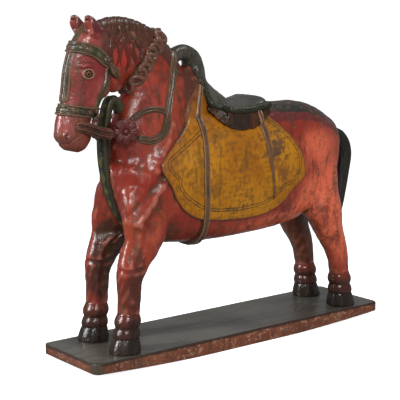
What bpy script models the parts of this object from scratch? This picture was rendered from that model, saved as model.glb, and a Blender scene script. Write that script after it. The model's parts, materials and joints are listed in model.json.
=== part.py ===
# A carved and painted wooden horse on its plank base.
# The horse is one carving: body, head, harness, saddle, cloth and tail come out of one block.
# It faces -Y, its left side is +X, and the plank's underside is at height 0.
# The carving keeps its pose as shares of its own height, so figures in the lists below are
# shares of HORSE_HEIGHT. The plank takes its length and width from the hooves it carries.

from math import cos, sin, pi

import bmesh
import bpy
from mathutils import Vector

# Driving sizes in metres
HORSE_HEIGHT = 0.700
BOARD_THICK = 0.034
BOARD_END_THICK = 0.022
BOARD_TOE_MARGIN = 0.102
BOARD_HEEL_MARGIN = 0.087
BOARD_SIDE_MARGIN = 0.042
BOARD_CORNER_CUT = 0.012
BOARD_EDGE_ROUND = 0.003
BOARD_FLAT_SHARE = 0.30
BOARD_LIFT_CURVE = 1.5
BOARD_ROWS = 10
CORNER_ROWS = 4
SOLE_GAP = 0.0003
CLOTH_RELIEF = 0.0045
STRAP_RELIEF = 0.0075
HARNESS_RELIEF = 0.0050

# Where the feet stand, in shares of the horse's height
LEG_X = 0.086
FORE_HOOF_Y = -0.447
HIND_HOOF_Y = 0.461

# Fineness of the carving
RING_SIDES = 28
STEPS_BETWEEN = 4
CARVING_GRAIN = 0.0026
TRIANGLES_WANTED = 9300
SOFTENING_ROUNDS = 3
PLATE_REACH = 0.4

board_front = FORE_HOOF_Y * HORSE_HEIGHT - BOARD_TOE_MARGIN
board_back = HIND_HOOF_Y * HORSE_HEIGHT + BOARD_HEEL_MARGIN
board_length = board_back - board_front
board_width = 2 * (LEG_X * HORSE_HEIGHT + BOARD_SIDE_MARGIN)
board_middle = (board_front + board_back) / 2
sole_height = BOARD_THICK + SOLE_GAP


def place(x, y, z):
    """A point given in shares of the horse's height, put on the plank."""
    return Vector((
        x * HORSE_HEIGHT,
        y * HORSE_HEIGHT - board_middle,
        z * HORSE_HEIGHT + sole_height,
    ))


def remove_everything():
    for thing in list(bpy.data.objects):
        bpy.data.objects.remove(thing, do_unlink=True)


def new_object(name, bm):
    bmesh.ops.recalc_face_normals(bm, faces=bm.faces)
    mesh = bpy.data.meshes.new(name)
    bm.to_mesh(mesh)
    bm.free()
    thing = bpy.data.objects.new(name, mesh)
    bpy.context.collection.objects.link(thing)
    return thing


def between(stations):
    """Stations with smooth ones added between them."""
    last = len(stations) - 1
    path = []
    for i in range(last):
        a, b, c, d = (
            Vector(stations[max(0, min(last, i + k))]) for k in (-1, 0, 1, 2)
        )
        for step in range(STEPS_BETWEEN):
            t = step / STEPS_BETWEEN
            path.append(
                0.5 * (2 * b + (c - a) * t + (2 * a - 5 * b + 4 * c - d) * t ** 2
                       + (3 * b - a - 3 * c + d) * t ** 3)
            )
    path.append(Vector(stations[last]))
    return path


def loft(name, stations, relief=0.0, squareness=0.92):
    """A solid through rings. A station is x, y, z, half width and half depth."""
    path = between(stations)
    bm = bmesh.new()
    rings = []
    for i, station in enumerate(path):
        ahead = path[min(i + 1, len(path) - 1)]
        behind = path[max(i - 1, 0)]
        along = Vector((0, ahead[1] - behind[1], ahead[2] - behind[2])).normalized()
        deep = Vector((0, along.z, -along.y))
        middle = place(*station[:3])
        wide = station[3] * HORSE_HEIGHT + relief
        thick = station[4] * HORSE_HEIGHT + relief
        ring = []
        for k in range(RING_SIDES):
            turn = 2 * pi * k / RING_SIDES
            c = abs(cos(turn)) ** squareness * (1 if cos(turn) > 0 else -1)
            s = abs(sin(turn)) ** squareness * (1 if sin(turn) > 0 else -1)
            ring.append(bm.verts.new(middle + Vector((c * wide, 0, 0)) + deep * s * thick))
        rings.append(ring)
    for first, second in zip(rings, rings[1:]):
        for k in range(RING_SIDES):
            n = (k + 1) % RING_SIDES
            bm.faces.new((first[k], first[n], second[n], second[k]))
    bm.faces.new(rings[0])
    bm.faces.new(rings[-1][::-1])
    return new_object(name, bm)


def cord(name, points, radius):
    """A round strand through points given as x, y, z."""
    curve = bpy.data.curves.new(name, "CURVE")
    curve.dimensions = "3D"
    curve.bevel_depth = radius
    curve.bevel_resolution = 3
    curve.use_fill_caps = True
    line = curve.splines.new("POLY")
    path = between(points)
    line.points.add(len(path) - 1)
    for spot, point in zip(line.points, path):
        spot.co = place(*point).to_4d()
    bar = bpy.data.objects.new(name, curve)
    bpy.context.collection.objects.link(bar)
    mesh = bpy.data.meshes.new_from_object(bar)
    bpy.data.objects.remove(bar, do_unlink=True)
    bm = bmesh.new()
    bm.from_mesh(mesh)
    return new_object(name, bm)


def ball(name, spot, half_sizes):
    bm = bmesh.new()
    bmesh.ops.create_uvsphere(bm, u_segments=24, v_segments=12, radius=1.0)
    for vert in bm.verts:
        vert.co = Vector(a * b * HORSE_HEIGHT for a, b in zip(vert.co, half_sizes))
        vert.co += place(*spot)
    return new_object(name, bm)


def slab(name, outline):
    """A plate right across the horse, with its outline given as y, z."""
    bm = bmesh.new()
    face = bm.faces.new([bm.verts.new(place(-PLATE_REACH, y, z)) for y, z in outline])
    swept = bmesh.ops.extrude_face_region(bm, geom=[face])
    moved = [v for v in swept["geom"] if isinstance(v, bmesh.types.BMVert)]
    across = Vector((2 * PLATE_REACH * HORSE_HEIGHT, 0, 0))
    bmesh.ops.translate(bm, verts=moved, vec=across)
    return new_object(name, bm)


def band(name, spine, half_wide):
    """A strip right across the horse that follows a spine of y, z points."""
    left, right = [], []
    for i, (y, z) in enumerate(spine):
        ahead = spine[min(i + 1, len(spine) - 1)]
        behind = spine[max(i - 1, 0)]
        along = Vector((ahead[0] - behind[0], ahead[1] - behind[1])).normalized()
        side = Vector((-along.y, along.x)) * half_wide
        left.append((y + side.x, z + side.y))
        right.append((y - side.x, z - side.y))
    return slab(name, left + right[::-1])


def cut(solid, tool, operation):
    """Blender's exact boolean, applied, with the tool removed."""
    step = solid.modifiers.new(operation, "BOOLEAN")
    step.operation = operation
    step.solver = "EXACT"
    step.object = tool
    bpy.context.view_layer.update()
    graph = bpy.context.evaluated_depsgraph_get()
    mesh = bpy.data.meshes.new_from_object(solid.evaluated_get(graph))
    solid.modifiers.clear()
    solid.data = mesh
    bpy.data.objects.remove(tool, do_unlink=True)
    return solid


def both_sides(build, name, stations, *rest):
    """The same piece on the left and on the right."""
    made = []
    for side in (1, -1):
        turned = [(side * s[0], *s[1:]) for s in stations]
        made.append(build(name, turned, *rest))
    return made


TORSO = [
    (0, -0.440, 0.560, 0.016, 0.036),
    (0, -0.430, 0.550, 0.042, 0.085),
    (0, -0.400, 0.538, 0.078, 0.140),
    (0, -0.340, 0.515, 0.108, 0.186),
    (0, -0.240, 0.500, 0.122, 0.203),
    (0, -0.080, 0.490, 0.127, 0.206),
    (0, 0.080, 0.492, 0.127, 0.206),
    (0, 0.200, 0.501, 0.126, 0.206),
    (0, 0.300, 0.511, 0.124, 0.197),
    (0, 0.380, 0.501, 0.110, 0.168),
    (0, 0.428, 0.484, 0.088, 0.130),
    (0, 0.463, 0.474, 0.052, 0.080),
    (0, 0.476, 0.471, 0.022, 0.034),
]
NECK = [
    (0, -0.262, 0.520, 0.100, 0.140),
    (0, -0.276, 0.610, 0.094, 0.160),
    (0, -0.275, 0.690, 0.074, 0.135),
    (0, -0.270, 0.770, 0.062, 0.118),
    (0, -0.298, 0.838, 0.055, 0.098),
    (0, -0.355, 0.888, 0.050, 0.084),
    (0, -0.415, 0.902, 0.045, 0.074),
    (0, -0.470, 0.880, 0.040, 0.070),
]
WITHERS = [
    (0, -0.185, 0.640, 0.070, 0.120),
    (0, -0.165, 0.720, 0.058, 0.090),
    (0, -0.158, 0.790, 0.042, 0.070),
    (0, -0.170, 0.835, 0.024, 0.040),
]
HEAD = [
    (0, -0.466, 0.955, 0.036, 0.030),
    (0, -0.482, 0.930, 0.045, 0.056),
    (0, -0.496, 0.885, 0.044, 0.073),
    (0, -0.507, 0.830, 0.043, 0.078),
    (0, -0.525, 0.775, 0.038, 0.066),
    (0, -0.548, 0.725, 0.034, 0.054),
    (0, -0.566, 0.684, 0.036, 0.052),
    (0, -0.573, 0.652, 0.037, 0.049),
    (0, -0.571, 0.626, 0.031, 0.037),
    (0, -0.568, 0.615, 0.022, 0.024),
]
FORE_LEG = [
    (LEG_X - 0.026, -0.345, 0.480, 0.045, 0.090),
    (LEG_X - 0.014, -0.360, 0.395, 0.054, 0.088),
    (LEG_X - 0.006, -0.382, 0.325, 0.050, 0.066),
    (LEG_X - 0.002, -0.407, 0.280, 0.044, 0.051),
    (LEG_X, -0.420, 0.250, 0.043, 0.047),
    (LEG_X, -0.428, 0.215, 0.035, 0.040),
    (LEG_X, -0.429, 0.135, 0.033, 0.034),
]
HIND_LEG = [
    (LEG_X - 0.028, 0.352, 0.500, 0.054, 0.090),
    (LEG_X - 0.016, 0.359, 0.400, 0.056, 0.077),
    (LEG_X - 0.006, 0.379, 0.330, 0.053, 0.066),
    (LEG_X, 0.396, 0.275, 0.045, 0.052),
    (LEG_X, 0.424, 0.220, 0.038, 0.043),
    (LEG_X, 0.440, 0.180, 0.035, 0.038),
    (LEG_X, 0.449, 0.125, 0.033, 0.034),
]
# Fetlock ring, pastern, coronet ring and the flared hoof: height and radius
FOOT = [
    (0.135, 0.033), (0.106, 0.035), (0.098, 0.039), (0.086, 0.041), (0.075, 0.039),
    (0.069, 0.037), (0.056, 0.042), (0.045, 0.044), (0.040, 0.042), (0.036, 0.044),
    (0.015, 0.049), (0.000, 0.049),
]
TAIL = [
    (0, 0.440, 0.580, 0.018, 0.018),
    (0, 0.490, 0.580, 0.024, 0.024),
    (0, 0.525, 0.560, 0.028, 0.027),
    (0, 0.544, 0.514, 0.030, 0.028),
    (0, 0.536, 0.440, 0.028, 0.026),
    (0, 0.522, 0.360, 0.026, 0.024),
    (0, 0.510, 0.295, 0.021, 0.018),
    (0, 0.506, 0.262, 0.010, 0.009),
]
SADDLE = [
    (0, -0.150, 0.620, 0.090, 0.070),
    (0, -0.115, 0.635, 0.100, 0.098),
    (0, -0.060, 0.635, 0.104, 0.098),
    (0, 0.000, 0.632, 0.106, 0.096),
    (0, 0.080, 0.636, 0.105, 0.096),
    (0, 0.130, 0.655, 0.092, 0.082),
    (0, 0.165, 0.676, 0.068, 0.060),
    (0, 0.182, 0.686, 0.038, 0.043),
]
POMMEL = [
    (0, -0.040, 0.700, 0.060, 0.050),
    (0, -0.082, 0.735, 0.050, 0.046),
    (0, -0.110, 0.780, 0.040, 0.034),
    (0, -0.115, 0.830, 0.032, 0.028),
    (0, -0.126, 0.868, 0.028, 0.023),
    (0, -0.158, 0.886, 0.026, 0.019),
    (0, -0.192, 0.876, 0.026, 0.018),
    (0, -0.212, 0.850, 0.024, 0.016),
]
MANE = [
    (0, -0.190, 0.790, 0.020, 0.036),
    (0, -0.235, 0.862, 0.026, 0.040),
    (0, -0.300, 0.914, 0.034, 0.042),
    (0, -0.380, 0.942, 0.038, 0.042),
    (0, -0.450, 0.936, 0.034, 0.042),
    (0, -0.502, 0.918, 0.028, 0.032),
    (0, -0.545, 0.890, 0.020, 0.024),
]
EAR = [
    (0.032, -0.492, 0.930, 0.014, 0.014),
    (0.036, -0.505, 0.950, 0.024, 0.018),
    (0.038, -0.517, 0.970, 0.026, 0.017),
    (0.038, -0.527, 0.988, 0.018, 0.012),
    (0.037, -0.531, 0.997, 0.007, 0.006),
]
CLOTH = [
    (-0.200, 0.760), (-0.215, 0.700), (-0.330, 0.560), (-0.295, 0.488), (-0.250, 0.410),
    (-0.170, 0.374), (-0.070, 0.362), (0.050, 0.362), (0.135, 0.377), (0.205, 0.425),
    (0.256, 0.480), (0.238, 0.553), (0.172, 0.620), (0.098, 0.690), (0.085, 0.760),
]
GIRTH = [(-0.165, 0.700), (-0.163, 0.500), (-0.163, 0.250)]
REAR_STRAP = [(0.060, 0.700), (0.090, 0.600), (0.110, 0.500), (0.128, 0.375)]
NOSEBAND = [(-0.640, 0.732), (-0.470, 0.712)]
BROWBAND = [(-0.610, 0.905), (-0.500, 0.872), (-0.415, 0.862)]
CHEEK_STRAP = [(-0.452, 0.880), (-0.470, 0.800), (-0.508, 0.715)]
FACE_STRAP = [
    (0, -0.548, 0.915, 0.010, 0.014),
    (0, -0.567, 0.880, 0.010, 0.014),
    (0, -0.583, 0.830, 0.010, 0.012),
    (0, -0.590, 0.775, 0.010, 0.012),
    (0, -0.601, 0.725, 0.010, 0.012),
]
MARTINGALE = [
    (0, -0.432, 0.765, 0.018, 0.012),
    (0, -0.405, 0.735, 0.018, 0.012),
    (0, -0.412, 0.700, 0.018, 0.012),
    (0, -0.438, 0.680, 0.018, 0.012),
    (0, -0.452, 0.640, 0.018, 0.012),
    (0, -0.450, 0.560, 0.018, 0.014),
    (0, -0.432, 0.460, 0.018, 0.014),
    (0, -0.398, 0.380, 0.017, 0.013),
    (0, -0.350, 0.320, 0.014, 0.012),
]
CHAIN = [
    (0.022, -0.256, 0.912), (0.046, -0.280, 0.890), (0.055, -0.315, 0.850),
    (0.060, -0.345, 0.805), (0.060, -0.370, 0.765), (0.045, -0.385, 0.735),
]
REIN_BAR = [(0.032, -0.572, 0.672), (0.048, -0.520, 0.672), (0.070, -0.445, 0.668)]
REIN_STRANDS = [
    [(0.072, -0.395, 0.668), (0.072, -0.350, 0.715), (0.068, -0.290, 0.735),
     (0.062, -0.245, 0.770), (0.056, -0.225, 0.830), (0.044, -0.205, 0.885)],
    [(0.078, -0.395, 0.648), (0.090, -0.340, 0.640), (0.088, -0.275, 0.665),
     (0.076, -0.240, 0.720), (0.060, -0.228, 0.770)],
]
ROSETTE_SPOT = (0.066, -0.425, 0.662)
ROSETTE_PETALS = 8
ROSETTE_RADIUS = 0.024
CHAIN_LINKS = 11


def relief_pieces():
    """Cloth, straps and bridle: parts of a slightly fuller body, cut out by slabs."""
    made = [
        cut(loft("cloth", TORSO, CLOTH_RELIEF), slab("outline", CLOTH), "INTERSECT"),
        cut(loft("girth", TORSO, STRAP_RELIEF), band("strip", GIRTH, 0.010), "INTERSECT"),
        cut(loft("rear", TORSO, STRAP_RELIEF), band("strip", REAR_STRAP, 0.010), "INTERSECT"),
    ]
    for name, spine, half_wide in (
        ("noseband", NOSEBAND, 0.016),
        ("browband", BROWBAND, 0.016),
        ("cheek strap", CHEEK_STRAP, 0.010),
    ):
        head = loft(name, HEAD, HARNESS_RELIEF)
        made.append(cut(head, band("strip", spine, half_wide), "INTERSECT"))
    return made


def foot(name, hoof_x, hoof_y, ankle_y):
    """Rings and hoof under one leg, leaning from the ankle to the hoof."""
    top = FOOT[0][0]
    stations = []
    for height, radius in FOOT:
        y = hoof_y + (ankle_y - hoof_y) * height / top
        stations.append((hoof_x, y, height, radius, radius))
    return loft(name, stations, squareness=1.0)


def rosette(name, side):
    """Eight petals round a button, on the front corner of the neck's base."""
    x, y, z = ROSETTE_SPOT
    middle = Vector((side * x, y, z))
    out = Vector((side * 0.85, -0.5, 0)).normalized()
    along = Vector((-out.y, out.x, 0))
    made = [ball(name, middle, (0.016, 0.016, 0.012))]
    for k in range(ROSETTE_PETALS):
        turn = 2 * pi * k / ROSETTE_PETALS
        spot = middle + (along * cos(turn) + Vector((0, 0, sin(turn)))) * ROSETTE_RADIUS
        made.append(ball(name, spot, (0.013, 0.013, 0.013)))
    return made


def horse_forms():
    made = [
        loft("torso", TORSO, squareness=0.88),
        loft("neck", NECK),
        loft("withers", WITHERS),
        loft("head", HEAD),
        loft("tail", TAIL),
        loft("saddle", SADDLE, squareness=0.8),
        loft("pommel", POMMEL),
        loft("mane", MANE),
        loft("face strap", FACE_STRAP),
        loft("martingale", MARTINGALE),
    ]
    made += relief_pieces()
    made += both_sides(loft, "fore leg", FORE_LEG)
    made += both_sides(loft, "hind leg", HIND_LEG)
    made += both_sides(loft, "ear", EAR)
    made += both_sides(cord, "rein", REIN_BAR, 0.0105)
    for strand in REIN_STRANDS:
        made += both_sides(cord, "rein strand", strand, 0.0085)
    for side in (1, -1):
        made.append(foot("foot", side * LEG_X, FORE_HOOF_Y, FORE_LEG[-1][1]))
        made.append(foot("foot", side * LEG_X, HIND_HOOF_Y, HIND_LEG[-1][1]))
        made += rosette("rosette", side)
        made.append(ball("eye", (side * 0.040, -0.530, 0.838), (0.012, 0.018, 0.013)))
        made.append(ball("nostril", (side * 0.030, -0.596, 0.668), (0.011, 0.014, 0.017)))
        path = between([(side * x, y, z) for x, y, z in CHAIN])
        for k in range(CHAIN_LINKS):
            spot = path[round(k * (len(path) - 1) / (CHAIN_LINKS - 1))]
            made.append(ball("link", spot, (0.014, 0.015, 0.015)))
    return made


def carve_horse():
    """All the forms run together into one solid."""
    bm = bmesh.new()
    for form in horse_forms():
        bm.from_mesh(form.data)
        bpy.data.objects.remove(form, do_unlink=True)
    horse = new_object("horse", bm)
    remesh = horse.modifiers.new("one block", "REMESH")
    remesh.mode = "VOXEL"
    remesh.voxel_size = CARVING_GRAIN
    soften = horse.modifiers.new("soften", "SMOOTH")
    soften.factor = 0.5
    soften.iterations = SOFTENING_ROUNDS
    bpy.context.view_layer.update()
    graph = bpy.context.evaluated_depsgraph_get()
    block = bpy.data.meshes.new_from_object(horse.evaluated_get(graph))
    horse.modifiers.clear()
    bm = bmesh.new()
    bm.from_mesh(block)
    for vert in bm.verts:
        vert.co.z = max(vert.co.z, sole_height)
    bmesh.ops.triangulate(bm, faces=bm.faces)
    count = len(bm.faces)
    bm.to_mesh(block)
    bm.free()
    horse.data = block
    thin = horse.modifiers.new("facets", "DECIMATE")
    thin.ratio = TRIANGLES_WANTED / count
    thin.use_collapse_triangulate = True
    return horse


def make_board():
    """The plank: rounded corners in plan, and an underside that lifts towards both ends."""
    half_length = board_length / 2
    half_width = board_width / 2
    flat = BOARD_FLAT_SHARE * half_length
    lift = BOARD_THICK - BOARD_END_THICK
    corner = half_length - BOARD_CORNER_CUT
    rows = [k * corner / BOARD_ROWS for k in range(BOARD_ROWS + 1)]
    rows += [corner + BOARD_CORNER_CUT * sin(pi / 2 * k / CORNER_ROWS)
             for k in range(1, CORNER_ROWS + 1)]
    bm = bmesh.new()
    rings = []
    for y in [-r for r in rows[:0:-1]] + rows:
        past = max(0.0, abs(y) - corner) / BOARD_CORNER_CUT
        wide = half_width - BOARD_CORNER_CUT * (1 - (1 - min(1.0, past) ** 2) ** 0.5)
        rise = lift * (max(0.0, abs(y) - flat) / (half_length - flat)) ** BOARD_LIFT_CURVE
        spots = ((-wide, rise), (wide, rise), (wide, BOARD_THICK), (-wide, BOARD_THICK))
        rings.append([bm.verts.new((x, y, z)) for x, z in spots])
    for first, second in zip(rings, rings[1:]):
        for k in range(4):
            n = (k + 1) % 4
            bm.faces.new((first[k], first[n], second[n], second[k]))
    bm.faces.new(rings[0])
    bm.faces.new(rings[-1][::-1])
    bmesh.ops.recalc_face_normals(bm, faces=bm.faces)
    bmesh.ops.dissolve_limit(bm, angle_limit=0.002, verts=bm.verts, edges=bm.edges)
    top = max(bm.faces, key=lambda face: face.calc_center_median().z)
    bmesh.ops.bevel(bm, geom=list(top.edges), offset=BOARD_EDGE_ROUND, segments=2,
                    profile=0.5, affect="EDGES")
    return new_object("board", bm)


def paint(thing, colour, roughness):
    coat = bpy.data.materials.new(thing.name + " paint")
    coat.use_nodes = True
    shader = coat.node_tree.nodes["Principled BSDF"]
    shader.inputs["Base Color"].default_value = (*colour, 1.0)
    shader.inputs["Roughness"].default_value = roughness
    shader.inputs["Metallic"].default_value = 0.0
    thing.data.materials.clear()
    thing.data.materials.append(coat)


remove_everything()
paint(carve_horse(), (0.230, 0.045, 0.028), 0.38)
paint(make_board(), (0.060, 0.048, 0.036), 0.45)
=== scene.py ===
# %% [markdown]
# # A carved and painted wooden horse on its plank
# The real object is one block of wood, carved in the round and painted: a standing horse with
# saddle, saddle cloth, bridle, reins and a chain collar, fixed to a plank. This lesson opens the
# measured model, then dresses it piece by piece. Sizes of the horse are written as shares of its
# own height, so each number can be checked against a side view.

# %% Open the measured model
import json
from math import atan2, cos, pi, radians, sin

import bpy
import numpy as np
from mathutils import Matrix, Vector
from mathutils.bvhtree import BVHTree

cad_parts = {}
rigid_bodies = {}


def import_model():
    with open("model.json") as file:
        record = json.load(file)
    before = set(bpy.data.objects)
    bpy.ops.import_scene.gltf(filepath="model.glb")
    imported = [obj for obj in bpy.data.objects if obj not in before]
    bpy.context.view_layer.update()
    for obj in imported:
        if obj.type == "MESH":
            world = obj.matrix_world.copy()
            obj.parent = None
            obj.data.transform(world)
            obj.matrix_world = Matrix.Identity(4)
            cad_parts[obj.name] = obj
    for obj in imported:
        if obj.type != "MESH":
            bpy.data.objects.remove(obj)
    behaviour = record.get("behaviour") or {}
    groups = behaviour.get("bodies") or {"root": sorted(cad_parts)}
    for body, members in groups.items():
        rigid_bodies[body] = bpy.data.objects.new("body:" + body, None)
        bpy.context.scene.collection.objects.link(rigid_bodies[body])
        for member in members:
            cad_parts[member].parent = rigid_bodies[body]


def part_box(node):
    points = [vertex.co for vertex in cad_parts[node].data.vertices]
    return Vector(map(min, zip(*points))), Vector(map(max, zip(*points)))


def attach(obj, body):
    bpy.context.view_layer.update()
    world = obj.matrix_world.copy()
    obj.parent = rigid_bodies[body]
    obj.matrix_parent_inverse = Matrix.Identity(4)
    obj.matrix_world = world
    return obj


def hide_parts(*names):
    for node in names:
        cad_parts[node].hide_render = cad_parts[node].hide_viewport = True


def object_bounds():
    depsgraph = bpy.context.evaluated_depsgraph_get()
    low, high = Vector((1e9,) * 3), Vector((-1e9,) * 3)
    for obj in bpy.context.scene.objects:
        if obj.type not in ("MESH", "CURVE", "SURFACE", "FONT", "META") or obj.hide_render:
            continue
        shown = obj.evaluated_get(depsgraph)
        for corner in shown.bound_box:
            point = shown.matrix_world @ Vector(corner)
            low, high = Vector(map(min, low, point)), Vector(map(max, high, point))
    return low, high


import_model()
cad_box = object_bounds()
bpy.ops.object.select_all(action="DESELECT")

HORSE_HEIGHT = 0.700
BOARD_THICK = 0.034
BOARD_END_THICK = 0.022
SOLE = BOARD_THICK + 0.0003
BOARD_MIDDLE = -0.0026
print("measured box", cad_box)

# %% [markdown]
# ## Camera, light and floor
# The photograph was taken from in front of the horse's left shoulder, a little above its back,
# with a long lens. The camera's place was worked out from the four corners of the plank. Three
# lamps show in the gloss: a tall narrow one in front, which draws the long lights down the legs,
# one beside the camera, and one above the seat. Two broad lamps only lighten the shadows, and so
# does the floor, which glows. They are kept out of the gloss, because a large pale shape that is
# mirrored in old lacquer lies over its red like milk.

# %% Camera, light and floor
CAMERA_AZIMUTH = radians(51.563)
CAMERA_RISE = radians(9.899)
CAMERA_FAR = 2.757
LENS = 108.0
AIM_RIGHT = -0.0479
AIM_UP = 0.2772
SENSOR_WIDE = 36.0
LAMPS_LOOK_AT = Vector((0, 0, 0.4))
FLOOR_SIZE = 400
FLOOR_DROP = 0.0005
ROOM_LIGHT = 0.22

away = Vector((sin(CAMERA_AZIMUTH) * cos(CAMERA_RISE), -cos(CAMERA_AZIMUTH) * cos(CAMERA_RISE),
               sin(CAMERA_RISE)))
right = Vector((cos(CAMERA_AZIMUTH), sin(CAMERA_AZIMUTH), 0))
up = away.cross(right)
aim = Vector((0, 0, SOLE)) + right * AIM_RIGHT + up * AIM_UP
bpy.ops.object.camera_add(location=aim + away * CAMERA_FAR,
                          rotation=away.to_track_quat("Z", "Y").to_euler())
camera = bpy.context.object
camera.data.lens = LENS
camera.data.sensor_width = SENSOR_WIDE
bpy.context.scene.camera = camera


def lamp(name, place, power, size, tall=None, shows=True):
    """A soft light, square or tall, that looks at the middle of the horse."""
    bpy.ops.object.light_add(type="AREA", location=place)
    light = bpy.context.object
    light.name = name
    light.rotation_euler = (Vector(place) - LAMPS_LOOK_AT).to_track_quat("Z", "Y").to_euler()
    light.data.energy = power
    light.data.size = size
    if tall:
        light.data.shape = "RECTANGLE"
        light.data.size_y = tall
    light.visible_glossy = shows


lamp("key light", (-0.6, -2.3, 1.3), 50, 0.24, tall=1.4)
lamp("near light", (2.1, -1.8, 1.9), 30, 0.50)
lamp("side fill", (2.6, 0.7, 1.1), 30, 1.4, shows=False)
lamp("low bounce", (2.0, -0.6, 0.15), 22, 1.2, shows=False)
lamp("top light", (0.2, 0.3, 2.6), 16, 0.9)

bpy.ops.mesh.primitive_plane_add(size=FLOOR_SIZE, location=(0, 0, -FLOOR_DROP))
floor = bpy.context.object
floor.name = "floor"
floor.visible_glossy = False
floor.visible_diffuse = False
scene = bpy.context.scene
scene.view_settings.view_transform = "Standard"
room = bpy.data.worlds.new("pale room")
scene.world = room
room.use_nodes = True
room.node_tree.nodes["Background"].inputs["Color"].default_value = (0.95, 0.96, 1.0, 1)
room.node_tree.nodes["Background"].inputs["Strength"].default_value = ROOM_LIGHT
print("camera at", [round(v, 3) for v in camera.location])

# %% [markdown]
# ## Shader maths as plain sums
# A painter thinks "more dirt where it is hollow and the noise is high". With this class that
# sentence becomes an expression, and each operator adds one Math node. Colours go through Mix
# nodes, because a Math node would turn them grey.


# %% A socket that can be added and multiplied
def linear(r, g, b):
    """A screen colour, 0 to 255, as the light values that a shader expects."""
    return tuple((c / 255 / 12.92) if c / 255 <= 0.04045 else ((c / 255 + 0.055) / 1.055) ** 2.4
                 for c in (r, g, b))


class Wire:
    """A shader socket on which sums can be written."""

    def __init__(self, pot, socket):
        self.pot = pot
        self.socket = socket

    def sum(self, operation, *others):
        values = {0: self, **dict(enumerate(others, 1))}
        return self.pot.node("ShaderNodeMath", {"operation": operation}, values)

    def __add__(self, other):
        return self.sum("ADD", other)

    def __sub__(self, other):
        return self.sum("SUBTRACT", other)

    def __mul__(self, other):
        return self.sum("MULTIPLY", other)

    def __rsub__(self, other):
        return (self * -1.0) + other

    __radd__ = __add__
    __rmul__ = __mul__

    def between(self, low, high):
        """0 below low, 1 above high, smooth in the middle."""
        settings = {"interpolation_type": "SMOOTHSTEP"}
        return self.pot.node("ShaderNodeMapRange", settings, {0: self, 1: low, 2: high})


BUMP_DEPTH = 0.0009
HAZE_ROUGHNESS = 0.42


class PaintPot:
    """One material and the nodes that mix it."""

    def __init__(self, name):
        self.material = bpy.data.materials.new(name)
        self.material.use_nodes = True
        self.nodes = self.material.node_tree.nodes
        self.links = self.material.node_tree.links
        self.shader = self.nodes["Principled BSDF"]
        self.place = self.node("ShaderNodeTexCoord", {}, {}, "Object")

    def node(self, kind, settings, values, output=0):
        """Add a node, set it up, feed its inputs and hand back one of its outputs."""
        made = self.nodes.new(kind)
        for key, value in settings.items():
            setattr(made, key, value)
        for key, value in values.items():
            self.feed(made.inputs[key], value)
        return Wire(self, made.outputs[output])

    def feed(self, socket, value):
        """A wire is linked, a colour gets its alpha, a number is written in."""
        if isinstance(value, Wire):
            self.links.new(value.socket, socket)
        elif isinstance(value, tuple) and len(socket.default_value) == 4:
            socket.default_value = (*value, 1.0)
        else:
            socket.default_value = value

    def noise(self, scale, detail=3.0, stretch=(1, 1, 1), roughness=0.5):
        """Clouds that are fixed to the piece; a stretch below 1 draws them out."""
        where = self.node("ShaderNodeMapping", {}, {"Vector": self.place, "Scale": stretch})
        values = {"Vector": where, "Scale": scale, "Detail": detail, "Roughness": roughness}
        return self.node("ShaderNodeTexNoise", {}, values)

    def field(self, name):
        """A number that is stored on the points of the mesh."""
        return self.node("ShaderNodeAttribute", {"attribute_name": name}, {}, "Fac")

    def mix(self, mask, first, second):
        return self.node("ShaderNodeMix", {"data_type": "RGBA"}, {0: mask, 6: first, 7: second}, 2)

    def finish(self, colour, roughness, bump, haze=0.0):
        """Plug colour, roughness and bumps into the shader; haze is the faint broad gloss."""
        self.feed(self.shader.inputs["Base Color"], colour)
        self.feed(self.shader.inputs["Roughness"], roughness)
        normal = self.node("ShaderNodeBump", {}, {"Height": bump, "Distance": BUMP_DEPTH,
                                                  "Strength": 1.0})
        self.feed(self.shader.inputs["Normal"], normal)
        self.shader.inputs["Coat Weight"].default_value = haze
        self.shader.inputs["Coat Roughness"].default_value = HAZE_ROUGHNESS
        return self.material


print("mid grey on the screen is", round(linear(128, 128, 128)[0], 3), "as light")

# %% [markdown]
# ## Old lacquer
# The red is old lacquer: thick in the hollows, where a century of dirt has turned it olive brown,
# and rubbed to salmon on the ridges. One recipe makes every painted finish on this horse. It takes
# four colours: the coat, its faded patches, the grime and the rubbed ridges. Where a ridge or a
# hollow is comes from a number stored on each point of the mesh, called "hollow". Over the sharp
# gloss of the red lies a faint broad one, the haze of much handling, which makes the lights on
# chest and face wider and pinker.


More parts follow.
